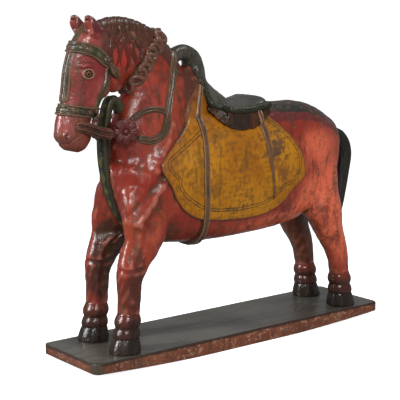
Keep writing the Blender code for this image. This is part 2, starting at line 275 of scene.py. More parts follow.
# %% A recipe for old paint
def old_paint(name, coat, faded, shade, grime, rubbed, gloss=0.20, grimy=0.5, rub=0.5,
              haze=0.0, zones=None):
    pot = PaintPot(name)
    cloud = pot.noise(6.0, 5.0, roughness=0.6).between(0.40, 0.64)
    patch = pot.noise(19.0, 7.0, stretch=(1.0, 1.0, 0.6), roughness=0.74).between(0.48, 0.62)
    streak = pot.noise(30.0, 6.0, stretch=(1.0, 1.0, 0.22), roughness=0.70)
    crack = pot.noise(120.0, 4.0, stretch=(1.0, 1.0, 0.14), roughness=0.6).between(0.57, 0.66)
    fleck = pot.noise(170.0, 4.0, roughness=0.7)
    hollow = pot.field("hollow")
    colour = pot.mix(cloud, coat, faded)
    if zones:
        colour = zones(pot, colour, streak)
    colour = pot.mix(patch * 0.70, colour, shade)
    dirty = (streak + (fleck - 0.5) * 0.55).between(0.60 - 0.16 * grimy, 0.74 - 0.14 * grimy)
    colour = pot.mix(dirty * 0.72, colour, grime)
    colour = pot.mix(crack * 0.45, colour, grime)
    colour = pot.mix(fleck.between(0.58, 0.66) * 0.55, colour, grime)
    deep = hollow.between(0.10, 1.20)
    colour = pot.mix(deep * 0.80, colour, grime)
    ridge = (hollow * -1.0 + (streak - 0.5) * 1.3).between(0.25, 1.10)
    colour = pot.mix(ridge * rub, colour, rubbed)
    rough = gloss + deep * 0.20 + dirty * 0.20 + patch * 0.06 + (fleck - 0.5) * 0.12
    bump = streak * 0.7 + fleck * 0.45 + pot.noise(70.0, 3.0, roughness=0.6) * 0.9 - crack * 0.3
    return pot.finish(colour, rough, bump, haze=haze)


GRIME = linear(62, 44, 18)
DARK_GRIME = linear(24, 19, 13)


def body_zones(pot, colour, streak):
    """Bright, salmon, crimson and green-black areas, with ragged edges."""
    ragged = (streak - 0.5) * 1.2
    # brown: old dirt, and painted shade on the inner legs, the far hind leg and along the cloth's
    # edge
    brown = (pot.field("brown") + ragged * 0.8).between(0.30, 0.85)
    salmon = (pot.field("salmon") + ragged * 0.6).between(0.25, 0.85)
    colour = pot.mix(salmon * 0.9, colour, linear(204, 96, 66))
    bright = (pot.field("bright") + ragged * 0.6).between(0.35, 0.80)
    colour = pot.mix(bright * 0.85, colour, linear(156, 44, 34))
    colour = pot.mix(brown * 0.85, colour, linear(50, 31, 23))
    crimson_part = (pot.field("crimson") + (streak - 0.5) * 0.03).between(-0.004, 0.004)
    colour = pot.mix(crimson_part, colour, linear(92, 30, 30))
    colour = pot.mix(pot.field("ochre").between(0.02, 0.30), colour, linear(140, 84, 12))
    colour = pot.mix(pot.field("peak edge") * 0.9, colour, linear(96, 52, 26))
    band = (pot.field("band") + (streak - 0.5) * 0.02).between(-0.003, 0.003)
    return pot.mix(band, colour, linear(32, 34, 27))


def leaf_zones(pot, colour, streak):
    """Green leaves, and red brown where the green has gone from the strap."""
    worn = pot.noise(46.0, 4.0, roughness=0.65).between(0.50, 0.60)
    colour = pot.mix(worn * 0.75, colour, linear(98, 54, 40))
    return pot.mix(pot.field("leaf") * 0.8, colour, linear(80, 94, 68))


def chest_leaf_zones(pot, colour, streak):
    return pot.mix(pot.field("leaf") * 0.8, colour, linear(104, 100, 40))


def skirt_zones(pot, colour, streak):
    tone = pot.mix(streak.between(0.42, 0.58), linear(42, 22, 12), linear(78, 42, 18))
    return pot.mix(pot.field("skirt").between(0.3, 0.7), colour, tone)


def eye_zones(pot, colour, streak):
    """Rings round the eye's axis: black pupil, brown iris, dark rim and pale lid."""
    ring = pot.field("ring")
    colour = pot.mix(ring.between(0.0026, 0.0032), linear(12, 9, 8), linear(104, 62, 40))
    colour = pot.mix(ring.between(0.0050, 0.0056), colour, linear(30, 20, 17))
    return pot.mix(ring.between(0.0078, 0.0086), colour, linear(128, 92, 68))


def foot_zones(pot, colour, streak):
    ragged = (streak - 0.5) * 0.030
    above = (pot.field("height") + ragged).between(0.038, 0.056)
    high = (pot.field("height") + ragged).between(0.080, 0.120)
    return pot.mix(high, pot.mix(above, colour, linear(64, 33, 25)), linear(106, 42, 29))


def ear_zones(pot, colour, streak):
    lips = (pot.field("muzzle") + (streak - 0.5) * 1.4).between(0.2, 0.9)
    colour = pot.mix(lips * 0.6, colour, linear(94, 48, 30))
    colour = pot.mix(pot.field("nostril") * 0.85, colour, linear(58, 34, 28))
    colour = pot.mix(pot.field("inner ear") * 0.8, colour, linear(140, 44, 28))
    colour = pot.mix(pot.field("poll").between(0.2, 0.8) * 0.8, colour, linear(62, 40, 28))
    outer = pot.field("ear") * (1.0 - pot.field("inner ear").between(0.2, 0.6))
    return pot.mix(outer * 0.9, colour, linear(80, 22, 24))


red_lacquer = old_paint("red lacquer", linear(124, 33, 20), linear(142, 53, 30),
                        linear(76, 28, 15), GRIME, linear(182, 104, 84), haze=0.30,
                        zones=body_zones)
crimson = old_paint("face crimson", linear(116, 34, 32), linear(144, 66, 58),
                    linear(70, 30, 24), GRIME, linear(170, 110, 98), grimy=0.4,
                    haze=0.55, zones=ear_zones)
harness_paint = old_paint("harness green brown", linear(60, 52, 36), linear(80, 64, 44),
                          linear(40, 40, 29), DARK_GRIME, linear(132, 108, 84), rub=0.45,
                          zones=leaf_zones)
chest_strap_paint = old_paint("chest strap green", linear(34, 38, 28), linear(48, 50, 32),
                              linear(26, 26, 20), DARK_GRIME, linear(92, 82, 58), rub=0.25,
                              zones=chest_leaf_zones)
girth_paint = old_paint("girth brown", linear(82, 56, 38), linear(98, 70, 46),
                        linear(54, 44, 34), GRIME, linear(150, 118, 90), rub=0.7)
mane_paint = old_paint("mane brown", linear(58, 38, 27), linear(76, 42, 30),
                       linear(42, 32, 22), DARK_GRIME, linear(108, 80, 58), rub=0.45)
lock_paint = old_paint("lock red brown", linear(96, 36, 26), linear(74, 40, 28),
                       linear(52, 34, 22), DARK_GRIME, linear(126, 84, 62), rub=0.4)
chain_paint = old_paint("chain brown", linear(64, 36, 27), linear(80, 44, 32),
                        linear(40, 28, 20), DARK_GRIME, linear(136, 96, 78), rub=0.35)
# the saddle's dark green black, mixed lighter grey as a painted sheen on the seat
saddle_paint = old_paint("saddle green black and painted sheen", linear(62, 60, 53), linear(76, 72, 64),
                         linear(38, 32, 26), DARK_GRIME, linear(104, 92, 72), gloss=0.22,
                         zones=skirt_zones)
rosette_paint = old_paint("rosette red brown", linear(84, 34, 28), linear(98, 42, 34),
                          linear(54, 28, 22), DARK_GRIME, linear(124, 72, 60), gloss=0.34,
                          rub=0.35)
tail_paint = old_paint("tail black", linear(28, 25, 22), linear(36, 32, 28),
                       linear(22, 19, 17), DARK_GRIME, linear(62, 54, 46), gloss=0.36)
hoof_paint = old_paint("hoof black brown", linear(30, 24, 20), linear(46, 33, 26),
                       linear(24, 20, 16), DARK_GRIME, linear(104, 76, 64), gloss=0.16, rub=0.2,
                       zones=foot_zones)
eye_paint = old_paint("eye", linear(60, 40, 32), linear(60, 40, 32), linear(50, 32, 26),
                      DARK_GRIME, linear(150, 112, 88), gloss=0.12, grimy=0.1,
                      zones=eye_zones)
print("paints mixed:", len(bpy.data.materials))

# %% [markdown]
# ## Forms through rings
# A carver blocks a limb out by its cross-sections. A loft does the same: a few ovals along a
# path, with skin between them. Operators can't place an oval by five numbers in one step, so
# the rings are made directly and the operators take over after that.


# %% Lofts, joins and one-block remeshing
def spot(x, y, z):
    """Shares of the horse's height to metres."""
    return Vector((x * HORSE_HEIGHT, y * HORSE_HEIGHT - BOARD_MIDDLE, z * HORSE_HEIGHT + SOLE))


def between(stations, steps=5):
    """A smooth path through the stations, with steps points from each to the next."""
    last = len(stations) - 1
    path = []
    for i in range(last):
        a, b, c, d = (Vector(stations[max(0, min(last, i + k))]) for k in (-1, 0, 1, 2))
        for step in range(steps):
            t = step / steps
            path.append(0.5 * (2 * b + (c - a) * t + (2 * a - 5 * b + 4 * c - d) * t ** 2
                               + (3 * b - a - 3 * c + d) * t ** 3))
    path.append(Vector(stations[last]))
    return path


def skin(name, rings):
    """A closed mesh over rings of points, in metres."""
    sides = len(rings[0])
    points = [p for ring in rings for p in ring]
    faces = [[r * sides + k, r * sides + (k + 1) % sides, (r + 1) * sides + (k + 1) % sides,
              (r + 1) * sides + k] for r in range(len(rings) - 1) for k in range(sides)]
    faces.append(list(range(sides))[::-1])
    faces.append([(len(rings) - 1) * sides + k for k in range(sides)])
    mesh = bpy.data.meshes.new(name)
    mesh.from_pydata([tuple(p) for p in points], [], faces)
    piece = bpy.data.objects.new(name, mesh)
    bpy.context.collection.objects.link(piece)
    face_outward(piece)
    return piece


def pick(*pieces):
    """Select just these pieces, the first one active, for the operator that follows."""
    bpy.ops.object.select_all(action="DESELECT")
    for piece in pieces:
        piece.select_set(True)
    bpy.context.view_layer.objects.active = pieces[0]


def face_outward(piece):
    """Turn the front of every face to the outside."""
    pick(piece)
    bpy.ops.object.mode_set(mode="EDIT")
    bpy.ops.mesh.select_all(action="SELECT")
    bpy.ops.mesh.normals_make_consistent(inside=False)
    bpy.ops.object.mode_set(mode="OBJECT")


def loft(name, stations, relief=0.0, squareness=0.92, sides=40, steps=6, flute=None):
    """Skin over ovals; a station is a place x, y, z and half a width and a thickness."""
    path = between(stations, steps)
    rings = []
    for i, station in enumerate(path):
        ahead = path[min(i + 1, len(path) - 1)]
        behind = path[max(i - 1, 0)]
        along = Vector((0, ahead[1] - behind[1], ahead[2] - behind[2])).normalized()
        deep = Vector((0, along.z, -along.y))
        middle = spot(*station[:3])
        wide = station[3] * HORSE_HEIGHT + relief
        thick = station[4] * HORSE_HEIGHT + relief
        ring = []
        for k in range(sides):
            turn = 2 * pi * k / sides
            fuller = 1 + (flute(turn, i / len(path)) if flute else 0)
            c = abs(cos(turn)) ** squareness * (1 if cos(turn) > 0 else -1) * fuller
            s = abs(sin(turn)) ** squareness * (1 if sin(turn) > 0 else -1) * fuller
            ring.append(middle + Vector((c * wide, 0, 0)) + deep * s * thick)
        rings.append(ring)
    return skin(name, rings)


def both_sides(build, name, stations, *rest, **more):
    """The same form on the left and on the right."""
    return [build(name, [(side * s[0], *s[1:]) for s in stations], *rest, **more)
            for side in (1, -1)]


def ball(name, place, half_sizes, segments=24):
    """A sphere that is stretched to three half sizes, all in shares."""
    bpy.ops.mesh.primitive_uv_sphere_add(segments=segments, ring_count=segments // 2, radius=1.0,
                                         location=spot(*place),
                                         scale=[h * HORSE_HEIGHT for h in half_sizes])
    piece = bpy.context.object
    piece.name = name
    bpy.ops.object.transform_apply(location=True, rotation=True, scale=True)
    return piece


def join(name, pieces):
    """Many pieces become one mesh; they may overlap."""
    pick(*pieces)
    if len(pieces) > 1:
        bpy.ops.object.join()
    pieces[0].name = name
    pieces[0].data.name = name
    return pieces[0]


def run_modifier(piece, kind, **settings):
    """Add a modifier, set it and apply it at once."""
    pick(piece)
    step = piece.modifiers.new(kind, kind)
    for key, value in settings.items():
        setattr(step, key, value)
    bpy.ops.object.modifier_apply(modifier=step.name)


def one_block(name, pieces, grain, soft=3):
    """Overlapping forms run together into one skin of even small faces."""
    piece = join(name, pieces)
    run_modifier(piece, "REMESH", mode="VOXEL", voxel_size=grain)
    run_modifier(piece, "SMOOTH", factor=0.5, iterations=soft)
    return piece


print("the withers stand at", [round(v, 3) for v in spot(0, -0.165, 0.790)])

# %% [markdown]
# ## Carving by lines
# A groove is a line that a gouge follows. Seen from the side the line is easy to write down, so
# each groove is a few side-view points, and every point of the mesh near that line is pushed in
# along its normal. The same distance also tells a material where to paint.


# %% Grooves, fields and hollows
def points_of(piece):
    co = np.empty(len(piece.data.vertices) * 3)
    piece.data.vertices.foreach_get("co", co)
    return co.reshape(-1, 3)


def normals_of(piece):
    piece.data.update()
    no = np.empty(len(piece.data.vertices) * 3)
    piece.data.vertices.foreach_get("normal", no)
    return no.reshape(-1, 3)


def set_points(piece, co):
    piece.data.vertices.foreach_set("co", co.ravel())
    piece.data.update()


def shares(co):
    """Side-view shares of the height for points in metres: y and z."""
    return np.stack([(co[:, 1] + BOARD_MIDDLE) / HORSE_HEIGHT, (co[:, 2] - SOLE) / HORSE_HEIGHT], 1)


def along_line(places, line):
    """How far each place is from a line, and how far along the line that is."""
    best = np.full(len(places), 1e9)
    run = np.zeros(len(places))
    gone = 0.0
    for a, b in zip(np.array(line[:-1]), np.array(line[1:])):
        span = b - a
        length = float(np.hypot(*span))
        t = np.clip(((places - a) @ span) / length ** 2, 0, 1)
        gap = np.hypot(*(places - (a + t[:, None] * span)).T)
        nearer = gap < best
        best = np.where(nearer, gap, best)
        run = np.where(nearer, gone + t * length, run)
        gone += length
    return best, run


def ramp(values, start, end):
    """0 at start, 1 at end and straight in between; end may be the lower one."""
    return np.clip((values - start) / (end - start), 0, 1)


def smooth_line(line, steps=6):
    """The line rounded, as side-view points."""
    return [tuple(p) for p in between(line, steps)]


def carve(piece, line, width, depth, only=None, all_round=False):
    """A groove, or a ridge where depth is negative, along a side-view line."""
    co, no = points_of(piece), normals_of(piece)
    gap, _ = along_line(shares(co), smooth_line(line))
    push = depth * np.exp(-(gap / width) ** 2)
    if not all_round:
        push *= np.clip(np.abs(no[:, 0]) * 2.5, 0, 1)
    if only is not None:
        push *= only(co)
    set_points(piece, co - no * push[:, None])


def store(piece, name, values):
    """Write a number on each point, for a paint to read under this name."""
    old = piece.data.attributes.get(name)
    if old:
        piece.data.attributes.remove(old)
    layer = piece.data.attributes.new(name, "FLOAT", "POINT")
    layer.data.foreach_set("value", np.asarray(values, dtype=np.float32))


def read_field(piece, name):
    """The numbers that store wrote."""
    values = np.empty(len(piece.data.vertices), dtype=np.float32)
    piece.data.attributes[name].data.foreach_get("value", values)
    return values


def find_hollows(piece, rounds=6, reach=0.0011):
    """Stores how hollow each point is: above 0 in a groove, below 0 on a ridge."""
    co = points_of(piece)
    edges = np.empty(len(piece.data.edges) * 2, dtype=np.int64)
    piece.data.edges.foreach_get("vertices", edges)
    a, b = edges.reshape(-1, 2).T
    count = np.bincount(np.concatenate([a, b]), minlength=len(co)).clip(1)[:, None]
    even = co.copy()
    for _ in range(rounds):
        total = np.zeros_like(even)
        for axis in range(3):
            total[:, axis] = (np.bincount(a, even[b, axis], len(co))
                              + np.bincount(b, even[a, axis], len(co)))
        even = total / count
    rise = ((even - co) * normals_of(piece)).sum(1)
    store(piece, "hollow", np.clip(rise / reach, -1.5, 1.5))


def finished(piece, material):
    """Paint, smooth shading, and the horse's body; the measured horse is hidden."""
    set_points(piece, np.clip(points_of(piece), cad_box[0], cad_box[1]))
    piece.data.materials.clear()
    piece.data.materials.append(material)
    pick(piece)
    bpy.ops.object.shade_smooth()
    if "hollow" not in piece.data.attributes:
        find_hollows(piece)
    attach(piece, "root")
    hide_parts("horse")


# %% [markdown]
# ## Body, neck and legs
# The body is thick and smooth, with a deep chest, straight post-like legs and a round rump. All of
# it is one block in the real carving, so the forms are run together by a voxel remesh, which is
# the nearest thing to clay that a script has. Then the muscles' grooves and ridges are cut in,
# each a line in the side view with a width and a depth, and a negative depth raises a ridge. On a
# side-view line only the flanks are cut; the knee's groove runs right round the leg.

# %% Body, neck and legs
LEG_X = 0.086
TORSO = [
    (0, -0.440, 0.560, 0.016, 0.036), (0, -0.430, 0.550, 0.042, 0.085),
    (0, -0.400, 0.538, 0.078, 0.140), (0, -0.340, 0.515, 0.108, 0.186),
    (0, -0.240, 0.500, 0.122, 0.203), (0, -0.080, 0.490, 0.127, 0.206),
    (0, 0.080, 0.492, 0.127, 0.206), (0, 0.200, 0.501, 0.126, 0.206),
    (0, 0.300, 0.511, 0.124, 0.197), (0, 0.380, 0.501, 0.110, 0.168),
    (0, 0.428, 0.484, 0.088, 0.130), (0, 0.463, 0.474, 0.052, 0.080),
    (0, 0.476, 0.471, 0.022, 0.034),
]
NECK = [
    (0, -0.262, 0.520, 0.100, 0.140), (0, -0.276, 0.610, 0.094, 0.160),
    (0, -0.275, 0.690, 0.074, 0.135), (0, -0.270, 0.770, 0.062, 0.118),
    (0, -0.298, 0.838, 0.055, 0.098), (0, -0.355, 0.888, 0.050, 0.084),
    (0, -0.415, 0.902, 0.045, 0.074), (0, -0.470, 0.880, 0.040, 0.070),
]
WITHERS = [
    (0, -0.185, 0.640, 0.070, 0.120), (0, -0.165, 0.720, 0.058, 0.090),
    (0, -0.158, 0.790, 0.042, 0.070), (0, -0.170, 0.835, 0.024, 0.040),
]
FORE_LEG = [
    (LEG_X - 0.026, -0.345, 0.480, 0.045, 0.090), (LEG_X - 0.014, -0.360, 0.395, 0.054, 0.088),
    (LEG_X - 0.006, -0.382, 0.325, 0.050, 0.066), (LEG_X - 0.002, -0.407, 0.280, 0.044, 0.051),
    (LEG_X, -0.420, 0.250, 0.043, 0.047), (LEG_X, -0.428, 0.215, 0.035, 0.040),
    (LEG_X, -0.430, 0.140, 0.0335, 0.0345), (LEG_X, -0.431, 0.118, 0.0335, 0.0345),
    (LEG_X, -0.431, 0.100, 0.0260, 0.0270),
]
HIND_LEG = [
    (LEG_X - 0.028, 0.352, 0.500, 0.054, 0.090), (LEG_X - 0.016, 0.359, 0.400, 0.056, 0.077),
    (LEG_X - 0.006, 0.379, 0.330, 0.053, 0.066), (LEG_X, 0.396, 0.275, 0.045, 0.052),
    (LEG_X, 0.424, 0.220, 0.038, 0.043), (LEG_X, 0.440, 0.180, 0.035, 0.038),
    (LEG_X, 0.446, 0.145, 0.0335, 0.0345), (LEG_X, 0.450, 0.118, 0.0335, 0.0345),
    (LEG_X, 0.450, 0.100, 0.0260, 0.0270),
]
BODY_GRAIN = 0.0032
CARVING = {
    "groove before the shoulder": (
        [(-0.300, 0.545), (-0.345, 0.495), (-0.392, 0.452), (-0.430, 0.417)], 0.014, 0.0042),
    "ridge of the shoulder": (
        [(-0.322, 0.488), (-0.353, 0.452), (-0.385, 0.420), (-0.412, 0.388)], 0.014, -0.0050),
    "ridge down the neck": (
        [(-0.262, 0.668), (-0.292, 0.621), (-0.318, 0.584), (-0.341, 0.547)], 0.016, -0.0060),
    "mound of the chest": ([(-0.405, 0.535), (-0.392, 0.522), (-0.372, 0.526)], 0.028, -0.0060),
    "crease under the mound": (
        [(-0.442, 0.540), (-0.436, 0.505), (-0.410, 0.484), (-0.372, 0.476), (-0.335, 0.486)],
        0.012, 0.0014),
    "crease over the mound": ([(-0.330, 0.580), (-0.350, 0.548), (-0.400, 0.560)], 0.014, 0.0018),
    "fold of the stifle": (
        [(0.330, 0.420), (0.318, 0.380), (0.300, 0.345), (0.296, 0.310)], 0.010, 0.0022),
    "fold of the flank": ([(0.170, 0.420), (0.190, 0.380), (0.215, 0.345)], 0.010, 0.0022),
    "front sinew": ([(-0.425, 0.372), (-0.435, 0.325), (-0.455, 0.268)], 0.0070, 0.0020),
    "back sinew": ([(-0.392, 0.372), (-0.402, 0.325), (-0.430, 0.268)], 0.0070, 0.0020),
}
KNEE_LINE = [(-0.480, 0.255), (-0.440, 0.251), (-0.400, 0.259)]

body_forms = [loft("torso", TORSO, squareness=0.88), loft("neck", NECK), loft("withers", WITHERS)]
body_forms += both_sides(loft, "fore leg", FORE_LEG)
body_forms += both_sides(loft, "hind leg", HIND_LEG)
body_forms.append(ball("throat", (0, -0.422, 0.822), (0.036, 0.048, 0.054)))
body = one_block("horse_body", body_forms, BODY_GRAIN, soft=22)
for line, width, depth in CARVING.values():
    carve(body, line, width, depth)
carve(body, KNEE_LINE, 0.0060, 0.0024, all_round=True)
print("body points:", len(body.data.vertices))

# %% [markdown]
# ## Chest and chisel marks
# Between the forelegs the chest steps back, so that the chest strap can lie in the hollow. All
# over, the chisel left the surface a little uneven: a sum of slow waves moves each point by less
# than a millimetre, which breaks the highlights as on the real lacquer.

# %% Chest and chisel marks
CHEST_STRAP = [
    (-0.372, 0.680), (-0.394, 0.712), (-0.403, 0.736), (-0.418, 0.751), (-0.434, 0.747),
    (-0.446, 0.722), (-0.452, 0.690), (-0.458, 0.655), (-0.461, 0.632),
    (-0.459, 0.572), (-0.449, 0.511), (-0.435, 0.464), (-0.418, 0.422), (-0.393, 0.383),
    (-0.374, 0.362), (-0.340, 0.335),
]
STRAP_LIES = 8
STRAP_BED = 0.006
CHEST_HOLLOW = 0.045
CHISEL_DEPTH = 0.00050
CHISEL_LENGTH = 0.022


def chisel_marks(piece, depth, length, waves=26, seed=3):
    """Shallow unevenness, in metres, made of waves that run in all directions."""
    rng = np.random.default_rng(seed)
    co, no = points_of(piece), normals_of(piece)
    height = np.zeros(len(co))
    for _ in range(waves):
        way = rng.normal(size=3)
        way *= 2 * pi / (length * rng.uniform(0.6, 1.9)) / np.linalg.norm(way)
        height += np.sin(co @ way + rng.uniform(0, 2 * pi))
    set_points(piece, co + no * (depth * height / waves ** 0.5)[:, None])


body_co = points_of(body)
side_y, side_z = shares(body_co).T
hang_y, hang_z = np.array(CHEST_STRAP[STRAP_LIES:][::-1]).T
chest_y = np.interp(side_z, hang_z, hang_y) + STRAP_BED
fade = ramp(side_z, 0.31, 0.34) * ramp(side_z, 0.70, 0.64)
middle = np.exp(-(body_co[:, 0] / HORSE_HEIGHT / CHEST_HOLLOW) ** 2)
back = np.clip(chest_y - side_y, 0, None) * middle * fade * (side_y < -0.25)
body_co[:, 1] += back * HORSE_HEIGHT
set_points(body, body_co)
run_modifier(body, "SMOOTH", factor=0.5, iterations=3)
chisel_marks(body, CHISEL_DEPTH, CHISEL_LENGTH)
print("chest set back by up to", round(float(back.max()) * HORSE_HEIGHT * 1000, 1), "mm")

# %% [markdown]
# ## The cloth's peak
# In front the saddle cloth climbs to the pommel in a narrow peak. It lies on the steep side of
# the withers, where a layer cut from the round of the ribs would not reach. So the body itself
# is raised there, inside an outline drawn in the side view, and painted ochre.

# %% The cloth's peak
CLOTH_PEAK = [(-0.200, 0.676), (-0.178, 0.728), (-0.150, 0.760), (-0.132, 0.782), (-0.112, 0.772),
              (-0.080, 0.700), (-0.120, 0.660)]
PEAK_RELIEF = 0.0035
PEAK_SLOPE = 0.004


def within(places, outline, soft):
    """1 inside a side-view outline, fading to 0 over soft outside it."""
    inside = np.zeros(len(places), dtype=bool)
    for (ay, az), (by, bz) in zip(outline, outline[1:] + outline[:1]):
        crosses = (places[:, 1] < az) != (places[:, 1] < bz)
        at = ay + (places[:, 1] - az) * (by - ay) / (bz - az if bz != az else 1e-9)
        inside ^= crosses & (places[:, 0] < at)
    gap, _ = along_line(places, outline + outline[:1])
    return np.where(inside, 1.0, np.clip(1 - gap / soft, 0, 1))


peak = within(shares(points_of(body)), CLOTH_PEAK, PEAK_SLOPE)
set_points(body, points_of(body) + normals_of(body) * (PEAK_RELIEF * peak)[:, None])
store(body, "ochre", peak)
print("points in the peak:", int((peak > 0.5).sum()))

# %% [markdown]
# ## Where the paint changes
# Each colour area is a number on every point of the body, made from distances and soft blobs in
# the side view, and the paint reads it. Brown is old dirt along the crest and a darker patch on
# the withers; it is also painted shade on the inner sides of the legs, over the far hind leg and in
# a line round the cloth's edge. Salmon is where hands rubbed thigh and belly, bright red where
# they didn't reach. Over the croup runs a green black band with a crimson one under it.

# %% Where the paint changes
CLOTH = [
    (-0.175, 0.700), (-0.215, 0.660), (-0.258, 0.626), (-0.300, 0.590), (-0.326, 0.553),
    (-0.315, 0.521), (-0.294, 0.489), (-0.277, 0.451), (-0.248, 0.414), (-0.208, 0.387),
    (-0.168, 0.373), (-0.073, 0.360), (0.059, 0.359), (0.125, 0.375), (0.159, 0.397),
    (0.188, 0.426), (0.221, 0.453), (0.246, 0.483), (0.242, 0.519), (0.228, 0.552),
    (0.205, 0.588), (0.183, 0.616), (0.126, 0.672), (0.110, 0.700),
]
BAND_EDGE = [(0.10, 0.690), (0.184, 0.680), (0.291, 0.674), (0.411, 0.646), (0.469, 0.600)]
CRIMSON_EDGE = [(0.15, 0.648), (0.255, 0.652), (0.380, 0.632), (0.450, 0.575)]
CREST_EDGE = [(-0.470, 0.875), (-0.400, 0.895), (-0.300, 0.880), (-0.230, 0.800)]
SEAT_REAR = 0.06


def blobs(places, *spots):
    """A sum of soft blobs, each a strength, a place y, z and its reach along y and z."""
    y, z = places.T
    return sum(strength * np.exp(-((y - at_y) / long) ** 2 - ((z - at_z) / tall) ** 2)
               for strength, at_y, at_z, long, tall in spots)


def above(edge):
    """How far each point of the body is above an edge that is drawn in the side view."""
    return side_z - np.interp(side_y, *np.array(edge).T)


body_side = shares(points_of(body))
side_y, side_z = body_side.T
body_x = points_of(body)[:, 0]
leg_x = LEG_X * HORSE_HEIGHT
cloth_gap, _ = along_line(body_side, CLOTH + CLOTH[:1])
# Painted shade: brown on the inner faces of the legs and on the inner half of the far legs
inner_leg_shade = np.clip(-normals_of(body)[:, 0] * np.sign(body_x) * 1.6, 0, 1)
far_inner_shade = ramp(np.abs(body_x), leg_x + 0.022, leg_x + 0.010) * (body_x < 0)
leg_height = ramp(side_z, 0.40, 0.34) * ramp(side_z, 0.14, 0.22)
crest = ramp(above(CREST_EDGE), 0, 0.03) * (side_y < -0.2)
# brown: dirt on crest and lower legs, a dark patch on the withers, and painted shade on the inner
# legs, the far hind leg and along the cloth's edge
store(body, "brown", inner_leg_shade * leg_height * 0.9 + crest + np.exp(-(cloth_gap / 0.006) ** 2)
      + blobs(body_side, (1.0, -0.165, 0.79, 0.035, 0.10), (0.6, -0.19, 0.66, 0.03, 0.06),
              (0.8, -0.42, 0.24, 0.03, 0.12))
      + 0.45 * ramp(side_z, 0.26, 0.21)
      + 1.8 * far_inner_shade * ramp(side_y, 0.25, 0.29) * ramp(side_z, 0.42, 0.37))
peak_gap, _ = along_line(body_side, CLOTH_PEAK[:5])
peak_edge = np.exp(-(peak_gap / 0.005) ** 2) * (side_z > 0.665)
store(body, "peak edge", peak_edge)
find_hollows(body)
store(body, "hollow", np.where(peak_edge > 0.05, 0.25, read_field(body, "hollow")))
behind_seat = np.where(side_y > SEAT_REAR, 0.0, -1.0)
store(body, "band", above(BAND_EDGE) + behind_seat)
store(body, "crimson", above(CRIMSON_EDGE) + behind_seat)
store(body, "salmon", blobs(
    body_side, (1.3, 0.34, 0.36, 0.13, 0.17), (0.55, 0.30, 0.58, 0.12, 0.06),
    (0.8, 0.10, 0.32, 0.20, 0.045), (0.5, -0.36, 0.36, 0.06, 0.08), (0.5, 0.44, 0.20, 0.05, 0.08)))
store(body, "bright", blobs(
    body_side, (1.0, -0.33, 0.76, 0.07, 0.06), (1.0, -0.42, 0.87, 0.04, 0.04),
    (0.6, -0.36, 0.50, 0.07, 0.07), (0.5, 0.33, 0.48, 0.08, 0.08)))
print("brown share of the body:", round(float((read_field(body, "brown") > 0.5).mean()), 2))

# %% [markdown]
# ## Head and ears
# The head hangs almost upright, chin tucked in. Its small forms, the eye, the wrinkles over it,
# the comma of the nostril and the mouth, are finer than the body's, so the head is its own mesh
# with a grain half as coarse, sunk into the neck behind the bridle.

# %% Head and ears
HEAD = [
    (0, -0.466, 0.955, 0.036, 0.030), (0, -0.482, 0.930, 0.045, 0.056),
    (0, -0.496, 0.885, 0.044, 0.073), (0, -0.507, 0.830, 0.043, 0.078),
    (0, -0.525, 0.775, 0.038, 0.066), (0, -0.548, 0.725, 0.034, 0.054),
    (0, -0.563, 0.684, 0.037, 0.055), (0, -0.563, 0.652, 0.040, 0.059),
    (0, -0.565, 0.631, 0.035, 0.050), (0, -0.568, 0.616, 0.027, 0.037),
    (0, -0.570, 0.607, 0.017, 0.022),
]
EAR = [
    (0.032, -0.492, 0.930, 0.014, 0.014), (0.036, -0.505, 0.950, 0.024, 0.018),
    (0.038, -0.517, 0.970, 0.026, 0.017), (0.038, -0.527, 0.988, 0.018, 0.012),
    (0.037, -0.531, 0.997, 0.007, 0.006),
]
HEAD_GRAIN = 0.0015
EYE = (0.040, -0.534, 0.832)
NOSTRIL = (-0.604, 0.654)
EAR_MIDDLE = 0.038
EAR_HALF_WIDE = 0.019
EAR_SCOOP = 0.0095

head_forms = [loft("skull", HEAD)] + both_sides(loft, "ear", EAR)
for side in (1, -1):
    head_forms += [
        ball("cheek", (side * 0.022, -0.478, 0.802), (0.024, 0.036, 0.046)),
        ball("brow", (side * 0.031, -0.532, 0.856), (0.016, 0.030, 0.012)),
        ball("eye socket", (side * 0.034, EYE[1], EYE[2]), (0.014, 0.020, 0.016)),
        ball("nostril", (side * 0.027, -0.598, 0.655), (0.011, 0.014, 0.017)),
    ]
head = one_block("horse_head", head_forms, HEAD_GRAIN, soft=6)


def not_ear(co):
    """1 below the ears, so that the wrinkles over the eye don't cut them."""
    return (shares(co)[:, 1] < 0.94).astype(float)


carve(head, [(NOSTRIL[0] + 0.004, 0.664), (NOSTRIL[0] - 0.003, 0.654), (NOSTRIL[0] + 0.003, 0.645)],
      0.0042, 0.0040)
carve(head, [(-0.616, 0.634), (-0.600, 0.632), (-0.578, 0.648), (-0.556, 0.660)], 0.0032, 0.0016)
for rise in (0.0, 0.008, 0.016):
    carve(head, [(-0.552, 0.856 + rise), (-0.534, 0.866 + rise), (-0.512, 0.862 + rise)],
          0.0022, 0.0016, only=not_ear)
carve(head, [(-0.440, 0.845), (-0.436, 0.800), (-0.458, 0.752), (-0.490, 0.722)], 0.006, 0.0030)
head_co = points_of(head)
head_no = normals_of(head)
head_side = shares(head_co)
inside = ramp(head_side[:, 1], 0.945, 0.957) * ramp(head_side[:, 1], 0.992, 0.984)
across = np.abs(np.abs(head_co[:, 0]) / HORSE_HEIGHT - EAR_MIDDLE) / EAR_HALF_WIDE
scoop = inside * np.clip(1 - across ** 2, 0, 1) * np.clip(-head_no[:, 1] * 2, 0, 1)
head_co[:, 1] += scoop * EAR_SCOOP
set_points(head, head_co)
chisel_marks(head, 0.00022, 0.012, seed=5)
store(head, "inner ear", np.clip(scoop * 2.0, 0, 1))
store(head, "muzzle", ramp(head_side[:, 1], 0.690, 0.650))
